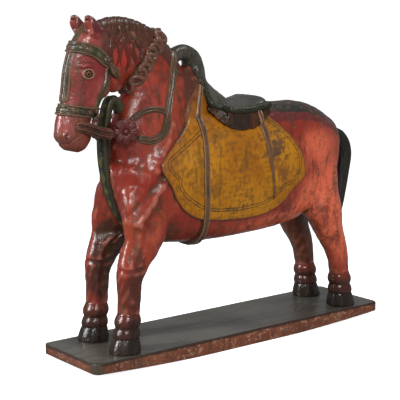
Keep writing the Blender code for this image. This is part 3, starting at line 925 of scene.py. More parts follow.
store(head, "nostril", blobs(head_side, (1.0, *NOSTRIL, 0.0065, 0.0105)))
store(head, "poll", ramp(head_side[:, 0], -0.505, -0.475) * ramp(head_side[:, 1], 0.87, 0.89))
store(head, "ear", ramp(head_side[:, 1], 0.940, 0.952))
print("head points:", len(head.data.vertices))

# %% [markdown]
# ## Eyes
# Each eye is a carved ball inside a rim, painted as rings: a pale lid, a dark ring, a bright
# iris and a black pupil.

# %% Eyes
EYE_RADIUS = 0.0072
EYE_OUT = 0.0035
LID_RADIUS = 0.0108
LID_THICK = 0.0024
LID_OUT = 0.0080
LID_HIGH = 0.80
EYE_LOOKS = Vector((1.0, -0.30, 0.02))
eye_parts = []
for side in (1, -1):
    centre = Vector((side * EYE[0], EYE[1], EYE[2]))
    look = Vector((side * EYE_LOOKS.x, EYE_LOOKS.y, EYE_LOOKS.z)).normalized()
    turn = look.to_track_quat("Z", "Y").to_euler()
    bpy.ops.mesh.primitive_uv_sphere_add(segments=32, ring_count=20, radius=EYE_RADIUS,
                                         location=spot(*(centre + look * EYE_OUT)), rotation=turn)
    eyeball = bpy.context.object
    bpy.ops.mesh.primitive_torus_add(major_radius=LID_RADIUS, minor_radius=LID_THICK,
                                     location=spot(*(centre + look * LID_OUT)), rotation=turn,
                                     major_segments=40, minor_segments=12)
    lid = bpy.context.object
    lid.scale = (1.0, LID_HIGH, 1.0)
    pick(eyeball, lid)
    bpy.ops.object.transform_apply(location=True, rotation=True, scale=True)
    for part in (eyeball, lid):
        out = points_of(part) - np.array(spot(*centre))
        along = out @ np.array(look)
        store(part, "ring", np.linalg.norm(out - along[:, None] * np.array(look), axis=1))
    eye_parts += [eyeball, lid]
eyes = join("eyes", eye_parts)
print("eye points:", len(eyes.data.vertices))

# %% [markdown]
# ## Feet
# Under each leg come a fetlock ring, a pastern and a bell-shaped hoof with flat facets cut by a
# broad chisel. The rings are turned sharp, so the foot is a separate loft with close sections
# instead of remeshed clay.

# %% Feet
FORE_HOOF_Y = -0.447
HIND_HOOF_Y = 0.461
FOOT = [
    (0.132, 0.0240), (0.124, 0.0300), (0.118, 0.0335), (0.112, 0.0348), (0.105, 0.0378),
    (0.096, 0.0402),
    (0.086, 0.0400), (0.079, 0.0372), (0.074, 0.0358), (0.070, 0.0375), (0.061, 0.0405),
    (0.052, 0.0415), (0.047, 0.0405), (0.044, 0.0388), (0.041, 0.0402), (0.027, 0.0452),
    (0.010, 0.0488), (0.003, 0.0490), (0.000, 0.0484),
]
FOOT_SIDES = 88
HOOF_FACETS = 9
FACET_DEPTH = 0.020
HOOF_TOP = 0.042


def hoof_cut(height):
    """Facets on the hoof only."""
    deep = FACET_DEPTH * min(1.0, max(0.0, (HOOF_TOP - height) / 0.010))
    return lambda turn: -deep * abs(sin(turn * HOOF_FACETS / 2)) ** 0.7


feet = []
for side in (1, -1):
    for hoof_y, ankle_y in ((FORE_HOOF_Y, FORE_LEG[-1][1]), (HIND_HOOF_Y, HIND_LEG[-1][1])):
        rings = []
        for height, radius in between(FOOT, 3):
            y = hoof_y + (ankle_y - hoof_y) * min(1.0, height / FOOT[0][0])
            facet = hoof_cut(height)
            rings.append([spot(side * LEG_X + cos(a) * radius * (1 + facet(a)),
                               y + sin(a) * radius * (1 + facet(a)), max(0.0, height))
                          for a in (2 * pi * k / FOOT_SIDES for k in range(FOOT_SIDES))])
        feet.append(skin("foot", rings))
feet = join("feet", feet)
store(feet, "height", shares(points_of(feet))[:, 1])
print("feet points:", len(feet.data.vertices))

# %% [markdown]
# ## Tail
# The tail leaves the top of the rump in a short arch and hangs straight to the hocks. Its hair is
# cut as long shallow flutes that twist a little.

# %% Tail
TAIL = [
    (0, 0.440, 0.580, 0.018, 0.018), (0, 0.490, 0.580, 0.024, 0.024),
    (0, 0.525, 0.560, 0.028, 0.027), (0, 0.544, 0.514, 0.030, 0.028),
    (0, 0.536, 0.440, 0.028, 0.026), (0, 0.522, 0.360, 0.026, 0.024),
    (0, 0.510, 0.295, 0.021, 0.018), (0, 0.506, 0.262, 0.010, 0.009),
]
TAIL_LOCKS = 15
TAIL_TWIST = 1.4
FLUTE_DEPTH = 0.050


def tail_flute(turn, share):
    """How much fuller the tail is at this turn, and this far down."""
    return FLUTE_DEPTH * (abs(cos((turn + share * TAIL_TWIST) * TAIL_LOCKS / 2)) - 0.6)


tail = loft("tail", TAIL, sides=180, steps=12, flute=tail_flute)
print("tail points:", len(tail.data.vertices))

# %% [markdown]
# ## Saddle
# The saddle is a hard seat with a rounded back edge, and in front a pommel that rises, curls
# forward and touches the mane, leaving a small hole under the curl. It is remeshed like the head,
# because seat, column and curl run into each other. Below its rim the skirt is cut with many
# short strokes, two waves of them that drift apart, as the knife did.

# %% Saddle
def plate(name, outline):
    """A plate right across the horse, cut to a side-view outline."""
    rings = [[spot(x, y, z) for y, z in outline] for x in (-0.4, 0.4)]
    return skin(name, rings)


def cut(piece, tool, operation):
    run_modifier(piece, "BOOLEAN", operation=operation, object=tool, solver="EXACT")
    bpy.data.objects.remove(tool, do_unlink=True)
    return piece


SADDLE = [
    (0, -0.122, 0.700, 0.052, 0.058), (0, -0.112, 0.684, 0.068, 0.062),
    (0, -0.098, 0.662, 0.088, 0.074), (0, -0.078, 0.644, 0.099, 0.084),
    (0, -0.040, 0.632, 0.105, 0.090), (0, 0.000, 0.630, 0.107, 0.090),
    (0, 0.070, 0.633, 0.107, 0.093), (0, 0.112, 0.639, 0.105, 0.097),
    (0, 0.128, 0.642, 0.102, 0.098),
]
SEAT_OUTLINE = [
    (-0.140, 0.900), (-0.140, 0.762), (-0.116, 0.748), (-0.107, 0.722), (-0.098, 0.696),
    (-0.085, 0.676), (-0.069, 0.657), (-0.043, 0.644), (-0.007, 0.636), (0.046, 0.640),
    (0.077, 0.654), (0.103, 0.676), (0.140, 0.704), (0.140, 0.900),
]
POMMEL = [
    (0, -0.040, 0.700, 0.060, 0.050), (0, -0.082, 0.735, 0.052, 0.046),
    (0, -0.112, 0.780, 0.042, 0.036), (0, -0.120, 0.830, 0.037, 0.033),
    (0, -0.130, 0.863, 0.033, 0.028), (0, -0.158, 0.881, 0.030, 0.024),
    (0, -0.192, 0.872, 0.028, 0.022), (0, -0.212, 0.850, 0.025, 0.018),
]
seat = cut(loft("seat", SADDLE, squareness=0.52, sides=64), plate("outline", SEAT_OUTLINE),
           "INTERSECT")
saddle_forms = [seat, loft("pommel", POMMEL)]
saddle_forms += [ball("collar knob", (side * 0.030, -0.122, 0.818), (0.014, 0.018, 0.026))
                 for side in (1, -1)]
saddle = one_block("saddle", saddle_forms, 0.0018, soft=4)
RIM = [(-0.116, 0.790), (-0.108, 0.768), (-0.099, 0.744), (-0.088, 0.724), (-0.068, 0.711),
       (-0.040, 0.702), (0.000, 0.698), (0.050, 0.700), (0.090, 0.706), (0.112, 0.711)]
REAR_EDGE = 0.119
SKIRT_STROKE = 0.0085
STROKE_DEPTH = 0.0006
LEAST_HOLLOW = -0.15
saddle_co, saddle_no = points_of(saddle), normals_of(saddle)
saddle_side = shares(saddle_co)
rim_z = np.interp(saddle_side[:, 0], *np.array(RIM).T)
skirt = ramp(rim_z - saddle_side[:, 1], 0, 0.006)
stroke = (np.sin(saddle_side[:, 0] * 2 * pi / SKIRT_STROKE + 2.0 * np.sin(saddle_side[:, 1] * 90))
          + 0.6 * np.sin(saddle_side[:, 0] * 2 * pi / (SKIRT_STROKE * 0.63) + 1.0))
set_points(saddle, saddle_co + saddle_no * (STROKE_DEPTH * stroke * skirt)[:, None])
store(saddle, "skirt", skirt)
chisel_marks(saddle, 0.00025, 0.018, seed=7)
find_hollows(saddle)
saddle_hollow = read_field(saddle, "hollow")
store(saddle, "hollow", np.where(skirt > 0.3, np.maximum(saddle_hollow, LEAST_HOLLOW),
                                 saddle_hollow))
print("saddle points:", len(saddle.data.vertices))

# %% [markdown]
# ## Saddle cloth
# The cloth is carved as a flat layer a few millimetres proud of the ribs, with a cusped border cut
# in double lines. Two bodies, one fuller than the other, make a shell between them, and a plate
# with the cloth's outline cuts its shape out of that shell.

# %% Saddle cloth
CLOTH_BORDER = [
    (-0.165, 0.645), (-0.243, 0.602), (-0.294, 0.570), (-0.300, 0.553), (-0.290, 0.533),
    (-0.265, 0.509), (-0.264, 0.496), (-0.262, 0.484), (-0.243, 0.458), (-0.206, 0.430),
    (-0.161, 0.408), (-0.085, 0.395), (0.042, 0.396), (0.114, 0.418), (0.148, 0.449),
    (0.185, 0.458), (0.210, 0.483), (0.222, 0.523), (0.211, 0.560), (0.192, 0.588),
    (0.167, 0.617), (0.128, 0.652), (0.098, 0.678), (0.080, 0.700),
]
LEFT_BOX = {"location": (0.244, 0, 0.4), "scale": (0.49, 2, 2)}
BORDER_FROM_LINE = 0.0040
BORDER_WIDE = 0.0018
BORDER_DEEP = 0.0014


def shell(name, stations, low, high, outline, squareness=0.92, grain=0.0018, soft=3):
    """The layer between two fullnesses of a form, inside a side-view outline, left side."""
    outer = loft(name, stations, relief=high, squareness=squareness, sides=72)
    cut(outer, loft("inner", stations, relief=low, squareness=squareness, sides=72), "DIFFERENCE")
    cut(outer, plate("outline", outline), "INTERSECT")
    bpy.ops.mesh.primitive_cube_add(size=1, **LEFT_BOX)
    cut(outer, bpy.context.object, "INTERSECT")
    return one_block(name, [outer], grain, soft=soft)


def mirrored(piece, name):
    """The same piece on the horse's right side, with its own mesh."""
    pick(piece)
    bpy.ops.object.duplicate()
    twin = bpy.context.object
    twin.name = name
    twin.data.name = name
    twin.scale.x = -1
    bpy.ops.object.transform_apply(location=False, rotation=False, scale=True)
    face_outward(twin)
    return twin


CLOTH_ROUND = smooth_line(CLOTH, 4)
cloth = shell("saddle_cloth_left", TORSO, -0.004, 0.0045, CLOTH_ROUND, squareness=0.88,
              grain=0.0021)
cloth_co, cloth_no = points_of(cloth), normals_of(cloth)
gap, _ = along_line(shares(cloth_co), smooth_line(CLOTH_BORDER, 4))
lines = np.exp(-((gap - BORDER_FROM_LINE) / BORDER_WIDE) ** 2)
set_points(cloth, cloth_co - cloth_no * (BORDER_DEEP * lines)[:, None])
chisel_marks(cloth, 0.00035, 0.020, seed=9)
store(cloth, "border", gap)
store(cloth, "old stain", blobs(
    shares(cloth_co), (1.0, 0.130, 0.590, 0.045, 0.060), (0.7, -0.020, 0.400, 0.120, 0.020),
    (0.6, 0.060, 0.560, 0.035, 0.060)))
edge_gap, _ = along_line(shares(points_of(cloth)), smooth_line(CLOTH[1:-1], 4))
store(cloth, "edge", edge_gap)
print("cloth points:", len(cloth.data.vertices))

# %% [markdown]
# ## Straps that lie on a form
# Bridle, girth and saddle straps are flat bands with a raised rim on both sides and a row of
# leaves between the rims. The shell that made the cloth makes them too, with a ribbon for its
# outline, and rims and leaves rise with the distance from the strap's middle line.

# %% Straps
def ribbon(spine, half_wide, narrow=1.0):
    """The outline of a band along a side-view line."""
    left, right = [], []
    last = len(spine) - 1
    for i, (y, z) in enumerate(spine):
        ahead, behind = spine[min(i + 1, len(spine) - 1)], spine[max(i - 1, 0)]
        along = Vector((ahead[0] - behind[0], ahead[1] - behind[1])).normalized()
        wide = half_wide * (1 + (narrow - 1) * i / last)
        left.append((y - along.y * wide, z + along.x * wide))
        right.append((y + along.y * wide, z - along.x * wide))
    return left + right[::-1]


def strap(name, form, spine, half_wide, low, high, leaf=0.0, grain=0.0012, squareness=0.92,
          narrow=1.0):
    """A strap of half_wide, in shares, over a form; narrow is its end width against its start."""
    piece = shell(name, form, low, high, ribbon(smooth_line(spine, 4), half_wide, narrow),
                  squareness=squareness, grain=grain, soft=2)
    co, no = points_of(piece), normals_of(piece)
    gap, run = along_line(shares(co), smooth_line(spine))
    push = 0.0016 * np.exp(-((gap - half_wide * 0.82) / (half_wide * 0.16)) ** 2)
    leaves = np.zeros(len(co))
    if leaf:
        phase = np.abs((run / leaf) % 1.0 - 0.5) * 2
        leaves = np.clip(1.05 - phase - (gap / (half_wide * 0.55)) ** 1.5, 0, 1)
        push += 0.0020 * np.sqrt(leaves)
    set_points(piece, co + no * push[:, None])
    store(piece, "leaf", leaves)
    find_hollows(piece, reach=0.0012)
    return piece


straps = [
    strap("noseband", HEAD, [(-0.640, 0.734), (-0.590, 0.730), (-0.540, 0.722), (-0.470, 0.712)],
          0.0155, -0.004, 0.0040, leaf=0.026),
    strap("browband", HEAD, [(-0.600, 0.914), (-0.552, 0.908), (-0.510, 0.893), (-0.475, 0.868),
                             (-0.440, 0.852)], 0.0165, -0.004, 0.0042, leaf=0.030),
    strap("girth", TORSO, [(-0.150, 0.700), (-0.162, 0.600), (-0.168, 0.500), (-0.162, 0.410),
                           (-0.150, 0.330), (-0.146, 0.276)], 0.0095, -0.004, 0.0070,
          squareness=0.88, grain=0.0014),
    strap("rear_strap", TORSO, [(0.068, 0.700), (0.083, 0.645), (0.087, 0.600), (0.094, 0.535),
                                (0.103, 0.474), (0.112, 0.410)], 0.0110, -0.004, 0.0068,
          squareness=0.88, grain=0.0014, narrow=0.35),
]
straps += [mirrored(piece, piece.name + "_right") for piece in list(straps)]
print("straps:", [(p.name, len(p.data.polygons)) for p in straps])

# %% [markdown]
# ## Ropes, reins and locks
# What runs over the carving as a raised strand is swept: a small ridged profile is carried along a
# path that lies on the surface. The path is dropped on the horse from the side, so it follows the
# neck without measuring it.


# %% Sweeping a ridged profile
def tree_of(piece):
    """A piece's surface, made ready for rays."""
    return BVHTree.FromObject(piece, bpy.context.evaluated_depsgraph_get())


saddle_tree = tree_of(saddle)
surfaces = [tree_of(body), tree_of(head), tree_of(cloth), saddle_tree]
print("surfaces to drape on:", len(surfaces))


def drape(y, z):
    """The outermost point of the left side at y, z, and which way the surface looks there."""
    best, facing = None, None
    for tree in surfaces:
        hit, normal, _, _ = tree.ray_cast(spot(0.5, y, z), Vector((-1, 0, 0)))
        if hit is not None and (best is None or hit.x > best.x):
            best, facing = hit, normal
    if best is None:
        best, facing = spot(0.004, y, z), Vector((0.3, 0, 1)).normalized()
    return best, facing


def sweep(name, path, facing, width, height, ridges=2, sink=0.004, taper=0.15, across=13,
          bend=0.0):
    """A strand of the given width and height in metres, with lengthwise ridges."""
    rings = []
    count = len(path)
    for i, middle in enumerate(path):
        along = (path[min(i + 1, count - 1)] - path[max(i - 1, 0)]).normalized()
        out = (facing[i] - along * facing[i].dot(along)).normalized()
        sideways = along.cross(out)
        share = i / (count - 1)
        thin = max(0.12, min(1.0, share / taper, (1 - share) / taper)) if taper else 1.0
        ring = []
        for k in range(across):
            s = k / (across - 1) * 2 - 1
            crown = (1 - abs(s) ** 3) ** 0.5 if abs(s) < 1 else 0.0
            groove = abs(cos((s + 1) / 2 * pi * ridges)) if ridges else 0.0
            lift = height * thin * crown * (1 - 0.42 * groove) - bend * s * s
            ring.append(middle + sideways * s * width / 2 * thin + out * lift)
        ring.append(middle + sideways * width / 2 * 0.7 * thin - out * sink)
        ring.append(middle - sideways * width / 2 * 0.7 * thin - out * sink)
        rings.append(ring)
    return skin(name, rings)


def draped(name, line, width, height, **more):
    """A strand on the left side of the horse, from side-view points."""
    fine = smooth_line(line, 8)
    hits = [drape(y, z) for y, z in fine]
    path = [hit for hit, _ in hits]
    facing = [n for _, n in hits]
    for _ in range(3):
        evened = [(a + b * 2 + c) / 4 for a, b, c in zip(path, path[1:], path[2:])]
        turned = [(a + b + c).normalized() for a, b, c in zip(facing, facing[1:], facing[2:])]
        path = [path[0]] + evened + [path[-1]]
        facing = [facing[0]] + turned + [facing[-1]]
    return sweep(name, path, facing, width, height, **more)


def with_twin(name, pieces):
    """Pieces of the left side and their mirror image, all as one piece."""
    left = join(name, pieces)
    return join(name, [left, mirrored(left, name + " right")])


# %% [markdown]
# ## Tops of the straps
# The shell that makes the straps follows the round of the ribs, so it ends where the back turns
# over into withers and seat. A short ridged strand, draped on the surface, carries girth and rear
# strap on up to the saddle.

# %% Tops of the straps
STRAP_TOPS = [[(-0.158, 0.655), (-0.150, 0.690), (-0.138, 0.735), (-0.120, 0.785)],
              [(0.083, 0.640), (0.074, 0.668), (0.066, 0.698)]]
strap_tops = with_twin("strap_tops", [
    draped("strap top", line, 0.0135, 0.0036, ridges=2, taper=0.04) for line in STRAP_TOPS])
print("strap tops:", len(STRAP_TOPS) * 2)

# %% [markdown]
# ## Mane
# The crest is a smooth roach of hair on the arch of the neck. From it thin wavy locks fall on both
# sides with the red neck showing between them, and a forelock lies between the ears.

# %% Mane
MANE = [
    (0, -0.190, 0.790, 0.020, 0.036), (0, -0.235, 0.862, 0.026, 0.040),
    (0, -0.300, 0.916, 0.034, 0.043), (0, -0.380, 0.947, 0.038, 0.043),
    (0, -0.450, 0.943, 0.036, 0.043), (0, -0.502, 0.922, 0.030, 0.032),
    (0, -0.545, 0.890, 0.020, 0.024),
]
COMB_WAVES = ((0.0210, 0.0), (0.0127, 1.3), (0.0083, 2.9))
COMB_DEPTH = 0.0005
LOCKS = 15
LOCK_FROM = -0.462
LOCKS_SPREAD = 0.135
LOCK_TOP = 0.957
LOCK_LONG = 0.100
LOCK_UNEVEN = 0.034
mane = one_block("mane", [loft("crest", MANE)], 0.0018, soft=4)
mane_co, mane_no = points_of(mane), normals_of(mane)
fall = shares(mane_co)[:, 0] + np.abs(mane_co[:, 0]) * 0.9
comb = sum(np.sin(fall * 2 * pi / gap_wide + phase + 1.5 * np.sin(mane_co[:, 2] * 60 + phase))
           for gap_wide, phase in COMB_WAVES)
set_points(mane, mane_co + mane_no * (COMB_DEPTH * comb)[:, None])
surfaces.append(tree_of(mane))
locks = []
for k in range(LOCKS):
    share = k / (LOCKS - 1)
    y = LOCK_FROM + LOCKS_SPREAD * share
    top = LOCK_TOP - 0.060 * share ** 2.2
    drop = (LOCK_LONG + LOCK_UNEVEN * sin(k * 2.3)) * (1 - 0.45 * share ** 3)
    line = [(y + 0.0070 * sin(s * 6 + k * 1.7) + 0.010 * s, top - drop * s)
            for s in (0.0, 0.2, 0.4, 0.6, 0.8, 1.0)]
    locks.append(draped("lock", line, 0.0120, 0.0026, ridges=3, taper=0.50, across=19))
locks = with_twin("mane_locks", locks)
print("locks:", LOCKS * 2)

# %% [markdown]
# ## Chain collar
# A heavy collar of carved links lies round the neck behind the jaw. Each link is a flattened ring,
# turned against the one before it, so the row reads as a twisted chain.

# %% Chain collar
CHAIN = [(-0.268, 0.934), (-0.272, 0.918), (-0.293, 0.902), (-0.316, 0.884), (-0.328, 0.860),
         (-0.344, 0.840), (-0.358, 0.814), (-0.376, 0.786)]
CHAIN_LINKS = 12
LINK = {"major_radius": 0.0094, "minor_radius": 0.0052, "major_segments": 28,
        "minor_segments": 10}
LINK_LONG = 1.25
LINK_SLANT = radians(38)
LINK_WARP = 0.0022
LINK_LIFT = 0.0026
chain_line = smooth_line(CHAIN, 12)
links = []
for k in range(CHAIN_LINKS):
    at = (len(chain_line) - 2) * k / (CHAIN_LINKS - 1)
    y, z = chain_line[int(at)]
    ahead = chain_line[int(at) + 1]
    hit, out = drape(y, z)
    hit_ahead, _ = drape(*ahead)
    along = (hit_ahead - hit).normalized()
    lean = out.to_track_quat("Z", "Y")
    bpy.ops.mesh.primitive_torus_add(**LINK)
    link = bpy.context.object
    flat = atan2(along.dot(lean @ Vector((0, 1, 0))), along.dot(lean @ Vector((1, 0, 0))))
    way = 1 if k % 2 else -1
    a = flat + LINK_SLANT * way
    turn = lean.to_matrix().to_4x4()
    for vert in link.data.vertices:
        x, y_flat, high = vert.co.x * LINK_LONG, vert.co.y, vert.co.z
        high += LINK_WARP * (1 if y_flat > 0 else -1) * way
        vert.co = turn @ Vector((x * cos(a) - y_flat * sin(a), x * sin(a) + y_flat * cos(a),
                                 high)) + hit + out * LINK_LIFT
    links.append(link)
chain = with_twin("chain_collar", links)
print("links:", CHAIN_LINKS * 2)

# %% [markdown]
# ## Rosettes
# Where rein and collar meet, on each front corner of the neck's base, sits a flower of eight
# petals round a button.

# %% Rosettes
ROSETTE = Vector((0.076, -0.428, 0.660))
ROSETTE_OUT = Vector((0.88, -0.47, 0.02)).normalized()
PETALS = 8
PETAL_SIZE = (0.0122, 0.0086, 0.0050)
PETAL_OUT = 0.0158
BUTTON_SIZE = (0.0062, 0.0062, 0.0060)
BUTTON_UP = 0.0028
PLATE_DOWN = 0.0105
petal_ring = []
lean = ROSETTE_OUT.to_track_quat("Z", "Y")
for k in range(PETALS + 1):
    button = k == PETALS
    bpy.ops.mesh.primitive_uv_sphere_add(segments=24, ring_count=14, radius=1.0,
                                         scale=BUTTON_SIZE if button else PETAL_SIZE)
    petal = bpy.context.object
    bpy.ops.object.transform_apply(location=False, rotation=False, scale=True)
    turn = 2 * pi * k / PETALS
    for vert in petal.data.vertices:
        p = vert.co.copy()
        if not button:
            p.z -= 0.0010 * max(0.0, 1 - abs(p.y) / 0.0016) * (1 if p.z > 0 else 0)
            p.x += PETAL_OUT
            p = Vector((p.x * cos(turn) - p.y * sin(turn), p.x * sin(turn) + p.y * cos(turn), p.z))
        else:
            p.z += BUTTON_UP
        vert.co = lean @ p + spot(*ROSETTE)
    petal_ring.append(petal)
bpy.ops.mesh.primitive_cylinder_add(vertices=40, radius=0.0255, depth=0.020)
back_plate = bpy.context.object
for vert in back_plate.data.vertices:
    vert.co = lean @ (vert.co - Vector((0, 0, PLATE_DOWN))) + spot(*ROSETTE)
rosette = with_twin("rosettes", petal_ring + [back_plate])
print("rosette points:", len(rosette.data.vertices))

# %% [markdown]
# ## Reins
# From each corner of the mouth a stout double rein runs back to the rosette, free of the throat.
# It is a stout bar, so it is swept along a path in the air and painted as a piece of its own.
# Behind the rosette two strands loop over the shoulder, join and climb the neck to the pommel.

# %% Reins
rein_points = [spot(*p) for p in between([
    (0.034, -0.576, 0.684), (0.044, -0.552, 0.680), (0.052, -0.524, 0.670),
    (0.060, -0.496, 0.660), (0.068, -0.462, 0.654)], 6)]
side_on = [Vector((0.9, -0.4, 0.1)).normalized()] * len(rein_points)
rein_bars = with_twin("rein_bars", [sweep("rein_bars", rein_points, side_on, 0.0235, 0.0115,
                                          ridges=2, sink=0.0090, taper=0.10, across=25)])
reins = with_twin("reins", [
    draped("band", [(-0.386, 0.642), (-0.352, 0.629), (-0.321, 0.634), (-0.294, 0.652),
                    (-0.275, 0.690), (-0.262, 0.740), (-0.247, 0.790), (-0.236, 0.832),
                    (-0.222, 0.868), (-0.204, 0.886)], 0.0190, 0.0068, ridges=3, taper=0.06,
           across=25),
    draped("branch", [(-0.392, 0.682), (-0.371, 0.703), (-0.337, 0.717), (-0.305, 0.718),
                      (-0.272, 0.706)], 0.0140, 0.0060, ridges=2, taper=0.08, across=19),
])
print("rein points:", len(rein_bars.data.vertices) + len(reins.data.vertices))

# %% [markdown]
# ## Chest strap
# A broad strap with leaves hangs from the throat, stands free of the neck for a hand's breadth and
# then lies down the middle of the chest to end between the forelegs.

# %% Chest strap
chest_line = smooth_line(CHEST_STRAP, 14)
chest_path = [spot(0, y, z) for y, z in chest_line]
chest_facing = []
for i in range(len(chest_path)):
    along = (chest_path[min(i + 1, len(chest_path) - 1)] - chest_path[max(i - 1, 0)]).normalized()
    chest_facing.append(Vector((0, along.z, -along.y)))
STRAP_ACROSS = 25
LEAF_RINGS = 12
chest_strap = sweep("chest_strap", chest_path, chest_facing, 0.029, 0.0060, ridges=0, sink=0.010,
                    taper=0.08, across=STRAP_ACROSS)
ring_of, place_in_ring = np.divmod(np.arange(len(chest_strap.data.vertices)), STRAP_ACROSS + 2)
aside = np.clip(np.abs(place_in_ring / (STRAP_ACROSS - 1) * 2 - 1), 0, 1)
phase = np.abs(ring_of / LEAF_RINGS % 1.0 - 0.5) * 2
chest_leaf = np.clip(1.0 - phase - (aside / 0.62) ** 1.6, 0, 1) * (place_in_ring < STRAP_ACROSS)
chest_rim = np.exp(-((aside - 0.80) / 0.13) ** 2) * (place_in_ring < STRAP_ACROSS)
strap_push = 0.0022 * np.sqrt(chest_leaf) + 0.0016 * chest_rim
set_points(chest_strap, points_of(chest_strap) + normals_of(chest_strap) * strap_push[:, None])
store(chest_strap, "leaf", np.sqrt(chest_leaf))
print("chest strap rings:", len(chest_path))

# %% [markdown]
# ## Face strap
# A narrow strap runs down the ridge of the face from the browband to the noseband.

# %% Face strap
face_line = smooth_line([(-0.505, 0.978), (-0.530, 0.952), (-0.552, 0.922), (-0.568, 0.890),
                         (-0.583, 0.840), (-0.590, 0.790), (-0.599, 0.742)], 6)
face_strap = sweep("face_strap", [spot(0, y, z) for y, z in face_line],
                   [Vector((0, -1, 0.1)).normalized()] * len(face_line), 0.027, 0.0060, ridges=3,
                   sink=0.010, taper=0.06, across=31, bend=0.0050)
print("face strap rings:", len(face_line))

# %% [markdown]
# ## Cheek straps, bosses and tassels
# Behind the eye the browband ends under a round boss with a leaf-shaped tassel. From there the
# cheek strap runs down to the noseband, where a knot of three beads holds the two together.

# %% Cheek straps, bosses and tassels
bridle = [draped("cheek strap", [(-0.461, 0.852), (-0.470, 0.812), (-0.483, 0.777),
                                 (-0.497, 0.737), (-0.506, 0.706)], 0.0150, 0.0046, ridges=2,
                 taper=0.06, across=19)]
BOSS = (0.047, -0.470, 0.868)
bridle.append(ball("boss", BOSS, (0.008, 0.014, 0.014), segments=32))
bridle.append(ball("boss button", (BOSS[0] + 0.006, BOSS[1], BOSS[2]), (0.006, 0.006, 0.006)))
tassel_path = [spot(*p) for p in between([(0.046, -0.466, 0.862), (0.053, -0.455, 0.848),
                                          (0.054, -0.443, 0.828), (0.048, -0.434, 0.812)], 5)]
bridle.append(sweep("tassel", tassel_path, [Vector((1, 0, 0.1))] * len(tassel_path), 0.019,
                    0.0062, ridges=3, sink=0.010, taper=0.5, across=19))
for y, z in ((-0.503, 0.722), (-0.497, 0.708), (-0.507, 0.700)):
    bridle.append(ball("bead", (0.036, y, z), (0.007, 0.008, 0.008)))
print("bridle fittings on each side:", len(bridle))
bridle = with_twin("bridle_fittings", bridle)

# %% [markdown]
# ## Saddle rim
# A hatched rope edges the seat, climbs to the pommel in front and closes across the rear. Its
# path is found by rays: from the side along the seat's edge, from above over the rear.

# %% Saddle rim
rim_hits = [drape(y, z) for y, z in smooth_line(RIM, 20)]
rear_hits = [saddle_tree.ray_cast(spot(x, REAR_EDGE, 1.2), Vector((0, 0, -1)))[:2]
             for x in np.linspace(0.097, 0.0, 40)]
rim_hits += [found for found in rear_hits if found[0] is not None]
print("rim points:", len(rim_hits))
for _ in range(4):
    evened = [((a[0] + b[0] * 2 + c[0]) / 4, (a[1] + b[1] + c[1]).normalized())
              for a, b, c in zip(rim_hits, rim_hits[1:], rim_hits[2:])]
    rim_hits = [rim_hits[0]] + evened + [rim_hits[-1]]
RIM_THICK = 0.0074
RIM_HATCH = 0.0011
RIM_SIDES = 24
rim_rings = []
for i, (hit, out) in enumerate(rim_hits):
    ahead = rim_hits[min(i + 1, len(rim_hits) - 1)][0]
    behind = rim_hits[max(i - 1, 0)][0]
    along = (ahead - behind).normalized()
    out = (out - along * out.dot(along)).normalized()
    sideways = along.cross(out)
    rim_rings.append([hit + (sideways * cos(a) + out * sin(a))
                      * (RIM_THICK + RIM_HATCH * sin(a * 2 + i * 1.5))
                      for a in (2 * pi * k / RIM_SIDES for k in range(RIM_SIDES))])
rim = with_twin("saddle_rim", [skin("saddle_rim", rim_rings)])

# %% [markdown]
# ## Plank
# The plank is sawn board, about a third thicker in its middle than at its ends, because its
# underside lifts towards the corners. Its top is dark and polished by hands, and its grey is made
# lighter as a painted sheen; its edges are rubbed down to red and to bare wood, under a dark line
# where the top's paint ends. A stain spreads round the fore hooves. Fine divisions let shallow
# dents lie in the top.

# %% Plank
board_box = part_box("board")
half_width = board_box[1][0]
half_length = board_box[1][1]
CORNER = 0.012
FLAT_SHARE = 0.30
BOARD_ROWS = 150
BOARD_COLUMNS = 40
EDGE_ROUND = 0.0026
DENT_DEEP = 0.0007
TOP_SKIN = 0.0001
BEVEL_FROM = radians(50)
SHARP_FROM = radians(35)
STAIN_REACH = 0.040
bpy.ops.mesh.primitive_grid_add(x_subdivisions=BOARD_COLUMNS, y_subdivisions=BOARD_ROWS, size=2,
                                location=(0, 0, 0))
board = bpy.context.object
board.name = "plank"
bpy.ops.object.mode_set(mode="EDIT")
bpy.ops.mesh.select_all(action="SELECT")
bpy.ops.mesh.extrude_region_move(TRANSFORM_OT_translate={"value": (0, 0, -1)})
bpy.ops.object.mode_set(mode="OBJECT")
face_outward(board)
board_co = points_of(board)
y = board_co[:, 1] * half_length
past = np.clip(np.abs(y) - (half_length - CORNER), 0, CORNER) / CORNER
wide = half_width - CORNER * (1 - np.sqrt(1 - np.clip(past, 0, 1) ** 2))
rise = (BOARD_THICK - BOARD_END_THICK) * ramp(np.abs(y) / half_length, FLAT_SHARE, 1) ** 1.5
top = board_co[:, 2] > -0.5
board_co = np.stack([board_co[:, 0] * wide, y, np.where(top, BOARD_THICK, rise)], 1)
set_points(board, board_co)
run_modifier(board, "BEVEL", width=EDGE_ROUND, segments=3, limit_method="ANGLE",
             angle_limit=BEVEL_FROM)
board_co = points_of(board)
edge = np.minimum(half_width - np.abs(board_co[:, 0]), half_length - np.abs(board_co[:, 1]))
store(board, "edge", edge)
store(board, "lip", BOARD_THICK - board_co[:, 2])
corner_gap = np.hypot(board_co[:, 0] - half_width, board_co[:, 1] + half_length)
store(board, "corner", np.clip(1.2 - corner_gap / 0.030, 0, 1))
hoof_along = board_co[:, 1] - (FORE_HOOF_Y * HORSE_HEIGHT - BOARD_MIDDLE)
hoof_gap = np.hypot(np.abs(board_co[:, 0]) - LEG_X * HORSE_HEIGHT, hoof_along)
store(board, "stain", np.clip(1.7 - hoof_gap / STAIN_REACH, 0, 1))
rng = np.random.default_rng(11)
